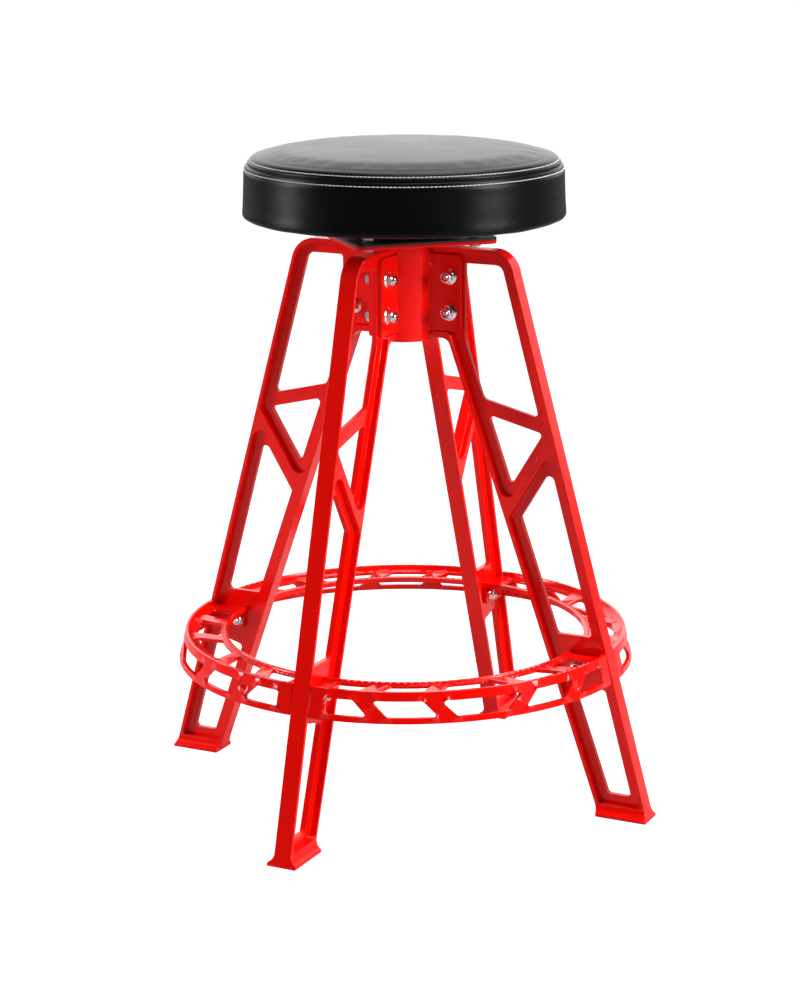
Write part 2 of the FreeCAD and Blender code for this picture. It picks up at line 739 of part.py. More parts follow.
def make_pivot():
    """The pin through both plates, with a head under the lower and one over the upper."""
    lower_seat = hub_plate_top + emboss_rise
    upper_seat = seat_bottom - emboss_rise + PIVOT_END_PLAY
    up = Vector(0, 0, 1)
    pin = round_bar(Vector(0, 0, lower_seat), up, PIVOT_RADIUS, upper_seat - lower_seat)
    lower_head = round_bar(Vector(0, 0, lower_seat - PIVOT_HEAD), up, PIVOT_HEAD_RADIUS, PIVOT_HEAD)
    upper_head = round_bar(Vector(0, 0, upper_seat), up, PIVOT_HEAD_RADIUS, PIVOT_HEAD)
    return pin.fuse([lower_head, upper_head]).removeSplitter()


def make_balls():
    """The balls of the race, evenly spaced."""
    balls = []
    for index in range(BALL_COUNT):
        centre = polar(BALL_CIRCLE_RADIUS, index * FULL_TURN / BALL_COUNT, ball_height)
        balls.append(Part.makeSphere(BALL_RADIUS, centre))
    return Part.makeCompound(balls)


def make_retainer():
    """The flat ring that keeps the balls apart."""
    base = Vector(0, 0, ball_height - RETAINER_THICKNESS / 2)
    up = Vector(0, 0, 1)
    half = RETAINER_WIDTH / 2
    ring = round_bar(base, up, BALL_CIRCLE_RADIUS + half, RETAINER_THICKNESS)
    cuts = [round_bar(base, up, BALL_CIRCLE_RADIUS - half, RETAINER_THICKNESS)]
    for index in range(BALL_COUNT):
        start = base + polar(BALL_CIRCLE_RADIUS, index * FULL_TURN / BALL_COUNT)
        cuts.append(round_bar(start, up, BALL_RADIUS + BALL_PLAY, RETAINER_THICKNESS))
    return ring.cut(cuts)


# Seat

def hem_centre():
    """Centre of the round at the seat's lower edge."""
    return Vector(SEAT_RADIUS - HEM_ROUND, 0, seat_bottom + HEM_ROUND)


def cushion(inset):
    """The seat's outer form as one solid, shrunk evenly by the inset.

    Its section runs round the hem, up the straight side, which leans in, and over the
    rounded shoulder to the low crown."""
    out = Vector(math.cos(math.radians(SIDE_ANGLE)), 0, math.sin(math.radians(SIDE_ANGLE)))
    up = Vector(-out.z, 0, out.x)
    hem = hem_centre()
    crown = Vector(0, 0, seat_bottom + SEAT_HEIGHT - CROWN_RADIUS)
    start = hem + out * (HEM_ROUND - SHOULDER_BEND)
    shoulder = start + up * reach_of_circle(start, up, crown, CROWN_RADIUS - SHOULDER_BEND)

    bottom = Vector(0, 0, seat_bottom + inset)
    hem_start = Vector(hem.x, 0, seat_bottom + inset)
    hem_end = hem + out * (HEM_ROUND - inset)
    side_end = shoulder + out * (SHOULDER_BEND - inset)
    ridge = crown + (shoulder - crown).normalize() * (CROWN_RADIUS - inset)
    top = Vector(0, 0, seat_bottom + SEAT_HEIGHT - inset)
    edges = [
        Part.LineSegment(bottom, hem_start).toShape(),
        arc_about(hem, hem_start, hem_end),
        Part.LineSegment(hem_end, side_end).toShape(),
        arc_about(shoulder, side_end, ridge),
        arc_about(crown, ridge, top),
        Part.LineSegment(top, bottom).toShape(),
    ]
    return Part.Face(Part.Wire(edges)).revolve(Vector(0, 0, 0), Vector(0, 0, 1), FULL_TURN)


def slab(low, high):
    """A wide level slab that cuts out what lies between two heights."""
    return round_bar(Vector(0, 0, low), Vector(0, 0, 1), 2 * SEAT_RADIUS, high - low)


def hem_radius():
    """Radius of the hem's free edge under the board."""
    return hem_centre().x - HEM_WIDTH


def make_cover():
    """The sewn cover: a crowned top panel and a side band with its hem turned under."""
    open_bottom = round_bar(Vector(0, 0, seat_bottom), Vector(0, 0, 1), hem_radius(), COVER_THICKNESS)
    cover = cushion(0).cut([cushion(COVER_THICKNESS), open_bottom])
    seam_height = seat_bottom + SEAM_HEIGHT
    top_panel = cover.common(slab(seam_height, seat_bottom + 2 * SEAT_HEIGHT))
    side_band = cover.common(slab(seat_bottom, seam_height))
    return top_panel, side_band


def make_foam():
    """The foam on the board and round its edge, which fills the cover."""
    filling = cushion(COVER_THICKNESS + COVER_PLAY)
    radius = board_radius() + COVER_PLAY
    room = round_bar(Vector(0, 0, seat_bottom), Vector(0, 0, 1), radius, board_top - seat_bottom)
    return filling.cut(room)


def board_radius():
    """Radius of the board, whose edge the foam wraps."""
    return SEAT_RADIUS - COVER_THICKNESS - FOAM_EDGE


def make_board():
    """The round board, with a blind hole for each screw."""
    board = round_bar(Vector(0, 0, board_bottom), Vector(0, 0, 1), board_radius(), BOARD_THICKNESS)
    holes = []
    for name, angle, side in LEGS:
        start = polar(plate_bolt_radius_out, angle, board_bottom)
        depth = SCREW_BITE + THREAD_PLAY
        holes.append(round_bar(start, Vector(0, 0, 1), SCREW_RADIUS + THREAD_PLAY, depth))
    return board.cut(holes)


def make_dust_cover():
    """The thin cloth under the board, inside the hem."""
    radius = hem_radius() - COVER_PLAY
    cloth = round_bar(Vector(0, 0, seat_bottom), Vector(0, 0, 1), radius, COVER_THICKNESS)
    return cloth.cut(plate_holes(seat_bottom, COVER_THICKNESS, SCREW_RADIUS + HOLE_PLAY))


def make_screws():
    """The screws up through the swivel's upper plate into the board."""
    up = Vector(0, 0, 1)
    length = SHEET + COVER_THICKNESS + SCREW_BITE
    screws = []
    for name, angle, side in LEGS:
        seat = polar(plate_bolt_radius_out, angle, upper_plate_bottom)
        shank = round_bar(seat, up, SCREW_RADIUS, length)
        head = Part.makeCone(SCREW_HEAD_RADIUS, SCREW_RADIUS, SCREW_HEAD, seat, -up)
        screws.append(shank.fuse(head).removeSplitter())
    return Part.makeCompound(screws)


def save(name, shape):
    """Write one piece, or one group of like pieces, as a STEP file."""
    print(name, "solids", len(shape.Solids), "valid", shape.isValid(), "volume", round(shape.Volume))
    shape.exportStep("parts/" + name + ".step")


def main():
    """Make and write every piece of the stool."""
    os.makedirs("parts", exist_ok=True)
    save("hub", make_hub())
    leg = make_leg()
    for name, angle, side in LEGS:
        save("leg_" + name, turned(leg, angle))
    leg_bolts, leg_nuts = make_leg_fasteners()
    save("leg_bolts", leg_bolts)
    save("leg_nuts", leg_nuts)
    quarter = make_ring_quarter()
    for name, angle in QUARTERS:
        save("ring_" + name, turned(quarter, angle))
    ring_bolts, ring_nuts = make_ring_fasteners()
    save("ring_bolts", ring_bolts)
    save("ring_nuts", ring_nuts)
    save("swivel_lower_plate", make_lower_plate())
    plate_bolts, plate_nuts = make_plate_fasteners()
    save("swivel_plate_bolts", plate_bolts)
    save("swivel_plate_nuts", plate_nuts)
    save("swivel_pivot", make_pivot())
    save("swivel_balls", make_balls())
    save("ball_retainer", make_retainer())
    save("swivel_upper_plate", make_upper_plate())
    save("seat_screws", make_screws())
    save("seat_board", make_board())
    save("seat_dust_cover", make_dust_cover())
    save("seat_foam", make_foam())
    top_panel, side_band = make_cover()
    save("seat_top_panel", top_panel)
    save("seat_side_band", side_band)


main()
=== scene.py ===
import math
import random

import bmesh
import bpy
from bpy.props import FloatProperty, FloatVectorProperty, IntProperty, PointerProperty
from mathutils import Matrix, Vector


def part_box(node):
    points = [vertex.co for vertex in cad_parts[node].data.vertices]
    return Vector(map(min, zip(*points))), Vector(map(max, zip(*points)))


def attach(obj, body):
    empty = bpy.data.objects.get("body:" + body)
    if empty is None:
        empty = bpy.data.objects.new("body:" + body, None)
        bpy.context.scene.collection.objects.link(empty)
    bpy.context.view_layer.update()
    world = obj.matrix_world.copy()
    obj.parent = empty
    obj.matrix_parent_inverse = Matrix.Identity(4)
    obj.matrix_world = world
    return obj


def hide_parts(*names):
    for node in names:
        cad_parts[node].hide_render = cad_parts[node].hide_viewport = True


bl_info = {
    "name": "Swivel stool",
    "version": (1, 0, 0),
    "blender": (4, 5, 0),
    "location": "3D View > Sidebar > Stool",
    "description": "Finishes a swivel stool: painted castings, fasteners, swivel and sewn seat",
    "category": "Object",
}

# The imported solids, and the places that the finished pieces take from them. All lengths
# are in metres, in the solids' own frame: +Z up, the origin on the floor.

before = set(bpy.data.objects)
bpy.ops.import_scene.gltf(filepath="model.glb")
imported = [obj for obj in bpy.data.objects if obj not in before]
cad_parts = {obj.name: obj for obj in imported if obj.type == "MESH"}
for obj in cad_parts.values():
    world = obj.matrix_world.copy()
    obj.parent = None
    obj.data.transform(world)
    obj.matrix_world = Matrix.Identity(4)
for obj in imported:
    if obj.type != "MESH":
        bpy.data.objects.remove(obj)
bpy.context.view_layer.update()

MM = 0.001
# Points nearer than this are welded: in the solids' meshes, and in pieces made here.
WELD = 2e-6
FINE_WELD = 1e-7
# Faces that differ by less than this angle count as one flat face.
FLAT = math.radians(0.5)
SEAT_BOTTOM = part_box("seat_side_band")[0].z
SEAT_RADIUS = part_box("seat_side_band")[1].x
SEAM_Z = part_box("seat_top_panel")[0].z
SEAT_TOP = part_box("seat_top_panel")[1].z
CLOTH_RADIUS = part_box("seat_dust_cover")[1].x
CASTINGS = ("hub", "leg_front", "leg_right", "leg_back", "leg_left")
RING_QUARTERS = ("ring_front_right", "ring_back_right", "ring_back_left", "ring_front_left")
SWIVEL_PLATES = ("swivel_lower_plate", "swivel_upper_plate")


# Mesh tools

def select_nothing():
    """Deselect every object."""
    bpy.ops.object.select_all(action="DESELECT")


def take(piece):
    """Only this piece is selected, and it is the active one."""
    select_nothing()
    piece.select_set(True)
    bpy.context.view_layer.objects.active = piece


def named(name):
    """The new primitive under its own name, with its place put into its mesh."""
    piece = bpy.context.object
    piece.name = name
    piece.data.name = name
    bpy.ops.object.transform_apply(location=True, rotation=True, scale=True)
    return piece


def from_points(name, points, faces):
    """A mesh piece from its points and faces."""
    mesh = bpy.data.meshes.new(name)
    mesh.from_pydata(points, [], faces)
    piece = bpy.data.objects.new(name, mesh)
    bpy.context.scene.collection.objects.link(piece)
    take(piece)
    return piece


def copy_of(node, name, whole=True):
    """A welded copy of a solid's mesh, with its flat faces made whole where that is asked."""
    piece = bpy.data.objects.new(name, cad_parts[node].data.copy())
    piece.data.name = name
    piece.data.materials.clear()
    bpy.context.scene.collection.objects.link(piece)
    take(piece)
    bpy.ops.object.mode_set(mode="EDIT")
    bpy.ops.mesh.select_all(action="SELECT")
    bpy.ops.mesh.remove_doubles(threshold=WELD)
    if whole:
        bpy.ops.mesh.dissolve_limited(angle_limit=FLAT)
    bpy.ops.object.mode_set(mode="OBJECT")
    return piece


def modify(piece, kind, **settings):
    """Add one modifier to the piece and apply it."""
    take(piece)
    modifier = piece.modifiers.new(kind.lower(), kind)
    for name, value in settings.items():
        setattr(modifier, name, value)
    bpy.ops.object.modifier_apply(modifier=modifier.name)


def smooth(piece, degrees):
    """Smooth shading that keeps the edges sharper than this angle."""
    take(piece)
    bpy.ops.object.shade_smooth_by_angle(angle=math.radians(degrees))


def round_edges(piece, width, degrees=30, shortest=0.8 * MM):
    """Round the edges sharper than this angle, outside and inside corners alike. Edges too
    short to carry a round stay as they are."""
    bm = bmesh.new()
    bm.from_mesh(piece.data)
    weight = bm.edges.layers.float.new("bevel_weight_edge")
    for edge in bm.edges:
        if edge.calc_length() > shortest and edge.calc_face_angle(0.0) > math.radians(degrees):
            edge[weight] = 1.0
    bm.to_mesh(piece.data)
    bm.free()
    modify(
        piece, "BEVEL", limit_method="WEIGHT", width=width, segments=2, use_clamp_overlap=False,
        miter_outer="MITER_ARC",
    )
    smooth(piece, 50)
    modify(piece, "WEIGHTED_NORMAL", keep_sharp=True, weight=80)


def joined(name, pieces):
    """The pieces as one object under a new name."""
    take(pieces[0])
    for piece in pieces:
        piece.select_set(True)
    bpy.ops.object.join()
    pieces[0].name = name
    pieces[0].data.name = name
    return pieces[0]


def stamped(name, master, places):
    """Copies of the master's mesh at these places, joined in one piece. The master goes."""
    copies = []
    for place in places:
        copy = bpy.data.objects.new(name, master.data.copy())
        copy.data.transform(place)
        bpy.context.scene.collection.objects.link(copy)
        copies.append(copy)
    bpy.data.objects.remove(master)
    return joined(name, copies)


def face_outwards(piece):
    """Weld the piece's doubles and point all its faces out."""
    take(piece)
    bpy.ops.object.mode_set(mode="EDIT")
    bpy.ops.mesh.select_all(action="SELECT")
    bpy.ops.mesh.remove_doubles(threshold=FINE_WELD)
    bpy.ops.mesh.normals_make_consistent(inside=False)
    bpy.ops.object.mode_set(mode="OBJECT")


def turned_profile(name, profile, steps):
    """A round piece: the profile of (radius, height) points, spun about the upright axis."""
    points = [(r, 0.0, z) for r, z in profile]
    piece = from_points(name, points, [])
    bm = bmesh.new()
    bm.from_mesh(piece.data)
    bm.verts.ensure_lookup_table()
    for first, second in zip(bm.verts[:], bm.verts[1:]):
        bm.edges.new((first, second))
    bm.to_mesh(piece.data)
    bm.free()
    bpy.ops.object.mode_set(mode="EDIT")
    bpy.ops.mesh.select_all(action="SELECT")
    bpy.ops.mesh.spin(steps=steps, angle=2 * math.pi, center=(0, 0, 0), axis=(0, 0, 1))
    bpy.ops.object.mode_set(mode="OBJECT")
    face_outwards(piece)
    return piece


# Materials

class Term:
    """A node socket that takes part in sums: arithmetic on it adds Math nodes."""

    def __init__(self, finish, socket):
        self.finish = finish
        self.socket = socket

    def __add__(self, other):
        return self.finish.math("ADD", self, other)

    def __radd__(self, other):
        return self.finish.math("ADD", other, self)

    def __sub__(self, other):
        return self.finish.math("SUBTRACT", self, other)

    def __rsub__(self, other):
        return self.finish.math("SUBTRACT", other, self)

    def __mul__(self, other):
        return self.finish.math("MULTIPLY", self, other)

    def __rmul__(self, other):
        return self.finish.math("MULTIPLY", other, self)


class Finish:
    """The nodes of a material under construction, or of a world."""

    def __init__(self, name, kind="materials"):
        self.made = getattr(bpy.data, kind).new(name)
        self.made.use_nodes = True
        self.tree = self.made.node_tree
        self.tree.nodes.clear()

    def node(self, kind, settings, sockets, output=0):
        """One node: its settings are made first, then its sockets' values and links."""
        node = self.tree.nodes.new(kind)
        for name, value in settings.items():
            if name == "stops":
                ramp_stops(node.color_ramp, value)
            else:
                setattr(node, name, value)
        for name, value in sockets.items():
            if isinstance(value, Term):
                self.tree.links.new(value.socket, node.inputs[name])
            else:
                node.inputs[name].default_value = value
        return Term(self, node.outputs[output]) if node.outputs else None

    def math(self, operation, first, second=0.0):
        """One arithmetic step on two values."""
        return self.node("ShaderNodeMath", {"operation": operation}, {0: first, 1: second})

    def place(self):
        """The point on the piece, in metres."""
        return self.node("ShaderNodeTexCoord", {}, {}, "Object")

    def axis(self, name):
        """One coordinate of the point on the piece."""
        return self.node("ShaderNodeSeparateXYZ", {}, {0: self.place()}, name)

    def cloud(self, size, detail=2.0, roughness=0.5):
        """Soft noise from 0 to 1 with spots of about this size, in metres."""
        sockets = {"Vector": self.place(), "Scale": 1 / size, "Detail": detail, "Roughness": roughness}
        return self.node("ShaderNodeTexNoise", {}, sockets, "Fac")

    def cells(self, size):
        """0 on the borders of cells of about this size, in metres, and more inside them."""
        sockets = {"Vector": self.place(), "Scale": 1 / size}
        return self.node("ShaderNodeTexVoronoi", {"feature": "DISTANCE_TO_EDGE"}, sockets, "Distance")

    def ramp(self, value, stops):
        """The value passed through a ramp of (position, brightness) stops."""
        return self.node("ShaderNodeValToRGB", {"stops": stops}, {0: value})

    def blend(self, mask, first, second):
        """The first colour where the mask is 0 and the second where it is 1."""
        settings = {"data_type": "RGBA"}
        return self.node("ShaderNodeMix", settings, {0: mask, 6: first, 7: second}, 2)

    def bump(self, height, depth):
        """A normal for a height from 0 to 1 that stands for this depth in metres."""
        return self.node("ShaderNodeBump", {}, {"Height": height, "Distance": depth, "Strength": 1.0})

    def done(self, **sockets):
        """Close the material with one principled shader and return it."""
        values = {name.replace("_", " "): value for name, value in sockets.items()}
        shader = self.node("ShaderNodeBsdfPrincipled", {}, values)
        self.node("ShaderNodeOutputMaterial", {}, {"Surface": shader})
        return self.made


def ramp_stops(ramp, stops):
    """Set a ramp's stops, each a position and a brightness."""
    while len(ramp.elements) < len(stops):
        ramp.elements.new(1.0)
    for element, (position, brightness) in zip(ramp.elements, stops):
        element.position = position
        element.color = (brightness, brightness, brightness, 1.0)


def linear(colour):
    """A screen colour of 0 to 255 as linear light."""
    channels = []
    for channel in colour:
        share = channel / 255
        channels.append(share / 12.92 if share <= 0.04045 else ((share + 0.055) / 1.055) ** 2.4)
    return (*channels, 1.0)


def opaque(colour):
    """A colour property as a socket's colour."""
    return (*colour, 1.0)


def shade(colour, factor):
    """A lighter or darker version of a colour."""
    return (*(channel * factor for channel in colour[:3]), 1.0)


def red_paint():
    """Smooth gloss powder coat over cast metal."""
    colour = opaque(bpy.context.scene.stool_finish.paint)
    finish = Finish("red_paint")
    patch = finish.cloud(0.09, 3)
    peel = finish.cloud(0.0016, 1)
    casting = finish.cloud(0.006, 2)
    base = finish.blend(patch, shade(colour, 0.93), shade(colour, 1.05))
    rough = 0.13 + 0.05 * patch + 0.03 * casting
    normal = finish.bump(0.65 * peel + 0.35 * casting, 0.03 * MM)
    return finish.done(
        Base_Color=base, Roughness=rough, Normal=normal, IOR=1.5, Specular_IOR_Level=0.3,
    )


def black_vinyl():
    """Grained upholstery vinyl: small rounded pebbles with fine creases between them, the creases darkened
    with painted shade.
    """
    colour = opaque(bpy.context.scene.stool_finish.vinyl)
    finish = Finish("black_vinyl")
    warp = finish.cloud(0.004, 2)
    pebbles_and_crease_shade = finish.ramp(finish.cells(1.3 * MM), [(0.0, 0.0), (0.22, 1.0)])
    pores = finish.cloud(0.0005, 2)
    patch = finish.cloud(0.05, 3)
    height = 0.7 * pebbles_and_crease_shade + 0.2 * pores + 0.1 * warp
    # The base colour is darker in the creases and lighter on the pebbles: painted shade in the creases.
    base = finish.blend(pebbles_and_crease_shade, shade(colour, 0.7), shade(colour, 1.08))
    rough = 0.25 + 0.08 * patch - 0.04 * pebbles_and_crease_shade
    return finish.done(
        Base_Color=base, Roughness=rough, Normal=finish.bump(height, 0.05 * MM), IOR=1.5,
        Specular_IOR_Level=0.12,
    )


def thread_white():
    """Twisted polyester sewing thread, darker in the grooves of its twist with painted shade."""
    finish = Finish("thread_white")
    level, upright = 9000, 12000
    turn = finish.axis("X") * level + finish.axis("Y") * level + finish.axis("Z") * upright
    strands_and_groove_shade = finish.math("SINE", turn) * 0.5 + 0.5
    # The colour follows the twist's height and is darker in its grooves: painted shade.
    base = finish.blend(strands_and_groove_shade, linear((196, 194, 188)), linear((240, 239, 235)))
    return finish.done(Base_Color=base, Roughness=0.55, Normal=finish.bump(strands_and_groove_shade, 0.08 * MM))


def zinc():
    """Bright zinc plating with fine handling marks."""
    finish = Finish("zinc")
    marks = finish.cloud(0.0012, 4, 0.7)
    cast = finish.cloud(0.012, 2)
    base = finish.blend(cast, linear((226, 228, 232)), linear((246, 246, 244)))
    rough = 0.08 + 0.12 * marks
    return finish.done(
        Base_Color=base, Metallic=1.0, Roughness=rough, Normal=finish.bump(marks, 0.012 * MM),
    )


def black_steel():
    """Black baked paint on pressed sheet."""
    finish = Finish("black_steel")
    peel = finish.cloud(0.0014, 2)
    patch = finish.cloud(0.03, 3)
    base = finish.blend(patch, linear((17, 17, 18)), linear((27, 27, 29)))
    rough = 0.30 + 0.12 * patch
    return finish.done(
        Base_Color=base, Roughness=rough, Normal=finish.bump(peel, 0.03 * MM), Coat_Weight=0.2,
    )


def nylon():
    """The dark insert of a lock nut."""
    finish = Finish("nylon")
    patch = finish.cloud(0.002, 2)
    base = finish.blend(patch, linear((16, 18, 30)), linear((26, 28, 44)))
    return finish.done(Base_Color=base, Roughness=0.35 + 0.1 * patch, Normal=finish.bump(patch, 0.02 * MM))


def bearing_steel():
    """Polished balls with a film of grease."""
    finish = Finish("bearing_steel")
    film = finish.cloud(0.003, 3)
    base = finish.blend(film, linear((150, 140, 118)), linear((205, 206, 208)))
    return finish.done(Base_Color=base, Metallic=1.0, Roughness=0.12 + 0.2 * film)


def cage_brass():
    """Pressed yellow cage of the balls."""
    finish = Finish("cage_brass")
    stain = finish.cloud(0.008, 4)
    base = finish.blend(stain, linear((150, 116, 56)), linear((196, 160, 92)))
    return finish.done(Base_Color=base, Metallic=1.0, Roughness=0.3 + 0.2 * stain)


def plywood():
    """Birch plywood: grain on the faces and glued layers on the edge."""
    finish = Finish("plywood")
    ply = 3 * MM
    stretched = finish.node(
        "ShaderNodeMapping", {}, {"Vector": finish.place(), "Scale": (1.0, 14.0, 1.0)}
    )
    fibre = finish.node(
        "ShaderNodeTexNoise", {}, {"Vector": stretched, "Scale": 60.0, "Detail": 4.0}, "Fac"
    )
    layer = finish.math("SINE", finish.axis("Z") * (2 * math.pi / ply)) * 0.5 + 0.5
    wood = finish.blend(fibre, linear((196, 160, 112)), linear((226, 196, 150)))
    base = finish.blend(layer * 0.35, wood, linear((150, 112, 70)))
    return finish.done(Base_Color=base, Roughness=0.6 + 0.2 * fibre, Normal=finish.bump(fibre, 0.1 * MM))


def black_cloth():
    """Thin spun cloth with a pressed dot pattern."""
    finish = Finish("black_cloth")
    pitch = 2 * math.pi / (1.8 * MM)
    across = finish.math("SINE", finish.axis("X") * pitch)
    along = finish.math("SINE", finish.axis("Y") * pitch)
    dots = finish.ramp(across * along, [(0.35, 0.0), (0.6, 1.0)])
    fuzz = finish.cloud(0.0006, 3)
    base = finish.blend(dots, linear((25, 25, 26)), linear((13, 13, 14)))
    height = 0.6 * (1 - dots) + 0.4 * fuzz
    return finish.done(Base_Color=base, Roughness=0.85 + 0.1 * fuzz, Normal=finish.bump(height, 0.15 * MM))


PAINTS = {
    "red_paint": red_paint,
    "black_vinyl": black_vinyl,
    "thread_white": thread_white,
    "zinc": zinc,
    "black_steel": black_steel,
    "nylon": nylon,
    "bearing_steel": bearing_steel,
    "cage_brass": cage_brass,
    "plywood": plywood,
    "black_cloth": black_cloth,
}

# The materials made so far, by the names above. The frame brings plain materials under some
# of these names, so the made ones aren't looked up in Blender's own list.
MADE = {}


def coat(piece, *names):
    """Give the piece these materials, each made at its first use."""
    piece.data.materials.clear()
    for name in names:
        if name not in MADE:
            MADE[name] = PAINTS[name]()
        piece.data.materials.append(MADE[name])


# What a user would change

class StoolFinish(bpy.types.PropertyGroup):
    """Colours of the stool."""
    paint: FloatVectorProperty(
        name="Paint", description="Colour of the powder coat on the castings",
        subtype="COLOR", size=3, min=0, max=1, default=linear((242, 12, 5))[:3],
    )
    vinyl: FloatVectorProperty(
        name="Vinyl", description="Colour of the seat's cover",
        subtype="COLOR", size=3, min=0, max=1, default=linear((8, 8, 9))[:3],
    )
    casting_round: FloatProperty(
        name="Casting edge", description="Round of the castings' edges and inner corners",
        subtype="DISTANCE", unit="LENGTH", default=0.6 * MM, min=0.1 * MM, max=1 * MM,
    )
    sheet_round: FloatProperty(
        name="Sheet edge", description="Round of the swivel plates' edges",
        subtype="DISTANCE", unit="LENGTH", default=0.4 * MM, min=0.1 * MM, max=1 * MM,
    )


class StoolSeat(bpy.types.PropertyGroup):
    """Sizes of the sewn seat."""
    hem_round: FloatProperty(
        name="Hem round", description="Round of the seat's lower edge",
        subtype="DISTANCE", unit="LENGTH", default=5 * MM, min=2 * MM, max=15 * MM,
    )
    side_lean: FloatProperty(
        name="Side lean", description="How far the side band leans in from upright",
        subtype="ANGLE", default=math.radians(2.2), min=0, max=math.radians(15),
    )
    shoulder: FloatProperty(
        name="Shoulder", description="Bend from the side to the top",
        subtype="DISTANCE", unit="LENGTH", default=26.7 * MM, min=10 * MM, max=40 * MM,
    )
    crown: FloatProperty(
        name="Crown", description="Radius of the top panel's low crown",
        subtype="DISTANCE", unit="LENGTH", default=3.24, min=0.5, max=20,
    )
    swell: FloatProperty(
        name="Swell", description="How far the padding pushes the cover out",
        subtype="DISTANCE", unit="LENGTH", default=1.6 * MM, min=0, max=6 * MM,
    )
    wave: FloatProperty(
        name="Hem wave", description="Height of the slow waves in the lower edge",
        subtype="DISTANCE", unit="LENGTH", default=0.7 * MM, min=0, max=3 * MM,
    )
    seam_depth: FloatProperty(
        name="Seam depth", description="Depth of the furrow along the seam",
        subtype="DISTANCE", unit="LENGTH", default=1.6 * MM, min=0, max=4 * MM,
    )
    stitch_dip: FloatProperty(
        name="Stitch dip", description="How deep the stitches pull the cover in",
        subtype="DISTANCE", unit="LENGTH", default=0.6 * MM, min=0, max=2 * MM,
    )
    stitches: IntProperty(
        name="Stitches", description="Stitches in each of the two rows round the seam",
        default=234, min=40, max=400,
    )
    stitch_offset: FloatProperty(
        name="Stitch offset", description="Distance along the cover from the seam to each row",
        subtype="DISTANCE", unit="LENGTH", default=5.6 * MM, min=2 * MM, max=15 * MM,
    )
    thread: FloatProperty(
        name="Thread", description="Thickness of the sewing thread",
        subtype="DISTANCE", unit="LENGTH", default=0.95 * MM, min=0.3 * MM, max=2 * MM,
    )


class StoolStage(bpy.types.PropertyGroup):
    """The studio and the camera."""
    azimuth: FloatProperty(
        name="Azimuth", description="The camera's turn about the stool, from the front",
        subtype="ANGLE", default=math.radians(26.1),
    )
    elevation: FloatProperty(
        name="Elevation", description="The camera's height over the horizon",
        subtype="ANGLE", default=math.radians(13.9),
    )
    distance: FloatProperty(
        name="Distance", description="From the camera to the point it was aimed about",
        subtype="DISTANCE", unit="LENGTH", default=2.9901,
    )
    lens: FloatProperty(
        name="Lens", description="Focal length on a 36 mm sensor",
        subtype="DISTANCE_CAMERA", default=95.84,
    )


class StoolTool:
    """What every one of the stool's operators shares."""
    bl_options = {"REGISTER", "UNDO"}


# Castings

class STOOL_OT_castings(StoolTool, bpy.types.Operator):
    """Round the edges of the hub and the legs, and paint them and the foot ring"""
    bl_idname = "stool.castings"
    bl_label = "Castings"

    def execute(self, context):
        for node in CASTINGS + RING_QUARTERS:
            piece = copy_of(node, node + "_casting", whole=node in CASTINGS)
            if node in CASTINGS:
                round_edges(piece, context.scene.stool_finish.casting_round)
            else:
                smooth(piece, 30)
            coat(piece, "red_paint")
            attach(piece, "frame")
            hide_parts(node)
        return {"FINISHED"}


# Fasteners, all of one thread size

BOLT_RADIUS = 4 * MM
BOLT_PITCH = 1.25 * MM
THREAD_DEPTH = 0.6 * BOLT_PITCH
CORE_RADIUS = BOLT_RADIUS - THREAD_DEPTH
THREADED_LENGTH = 14 * MM
ACROSS_FLATS = 13 * MM
HEX_CHAMFER = 0.9 * MM
PLAIN_HEAD = 5.3 * MM
FLANGED_HEAD = 8.1 * MM
FLANGE_RADIUS = 9.3 * MM
FLANGE_RIM = 1.2 * MM
FLANGE_RISE = 1.4 * MM
EDGE_BREAK = 0.3 * MM
COLLAR_RADIUS = ACROSS_FLATS / 2 - 0.3 * MM
COLLAR_WALL = 1.0 * MM
COLLAR_HEIGHT = 2.4 * MM
TURNED_STEPS = 48
FASTENER_SMOOTH = 35


def solids_of(node):
    """The separate solids of a node, each as a list of its points."""
    bm = bmesh.new()
    bm.from_mesh(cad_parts[node].data)
    bmesh.ops.remove_doubles(bm, verts=bm.verts, dist=WELD)
    left = set(bm.verts)
    solids = []
    for start in bm.verts:
        if start not in left:
            continue
        left.remove(start)
        front = [start]
        found = []
        while front:
            vertex = front.pop()
            found.append(vertex.co.copy())
            for edge in vertex.link_edges:
                other = edge.other_vert(vertex)
                if other in left:
                    left.remove(other)
                    front.append(other)
        solids.append(found)
    bm.free()
    return solids


def ends_of(points, axis):
    """The middle of a solid's low and high end along an axis, and how wide each end is."""
    depth = 0.3 * MM
    low = min(point[axis] for point in points)
    high = max(point[axis] for point in points)
    ends = []
    for end in (low, high):
        ring = [point for point in points if abs(point[axis] - end) < depth]
        middle = sum(ring, Vector()) / len(ring)
        ends.append((middle, max((point - middle).length for point in ring)))
    return ends


def bolt_places(node, head):
    """For each bolt of a node: its seat's place with +Z towards the head, and its length below."""
    found = []
    for points in solids_of(node):
        spans = [max(p[i] for p in points) - min(p[i] for p in points) for i in range(3)]
        axis = spans.index(max(spans))
        (low, low_width), (high, high_width) = ends_of(points, axis)
        tip, top = (low, high) if high_width > low_width else (high, low)
        along = (top - tip).normalized()
        seat = top - along * head
        turn = along.to_track_quat("Z", "Y").to_matrix().to_4x4()
        found.append((Matrix.Translation(seat) @ turn, (seat - tip).length))
    return found


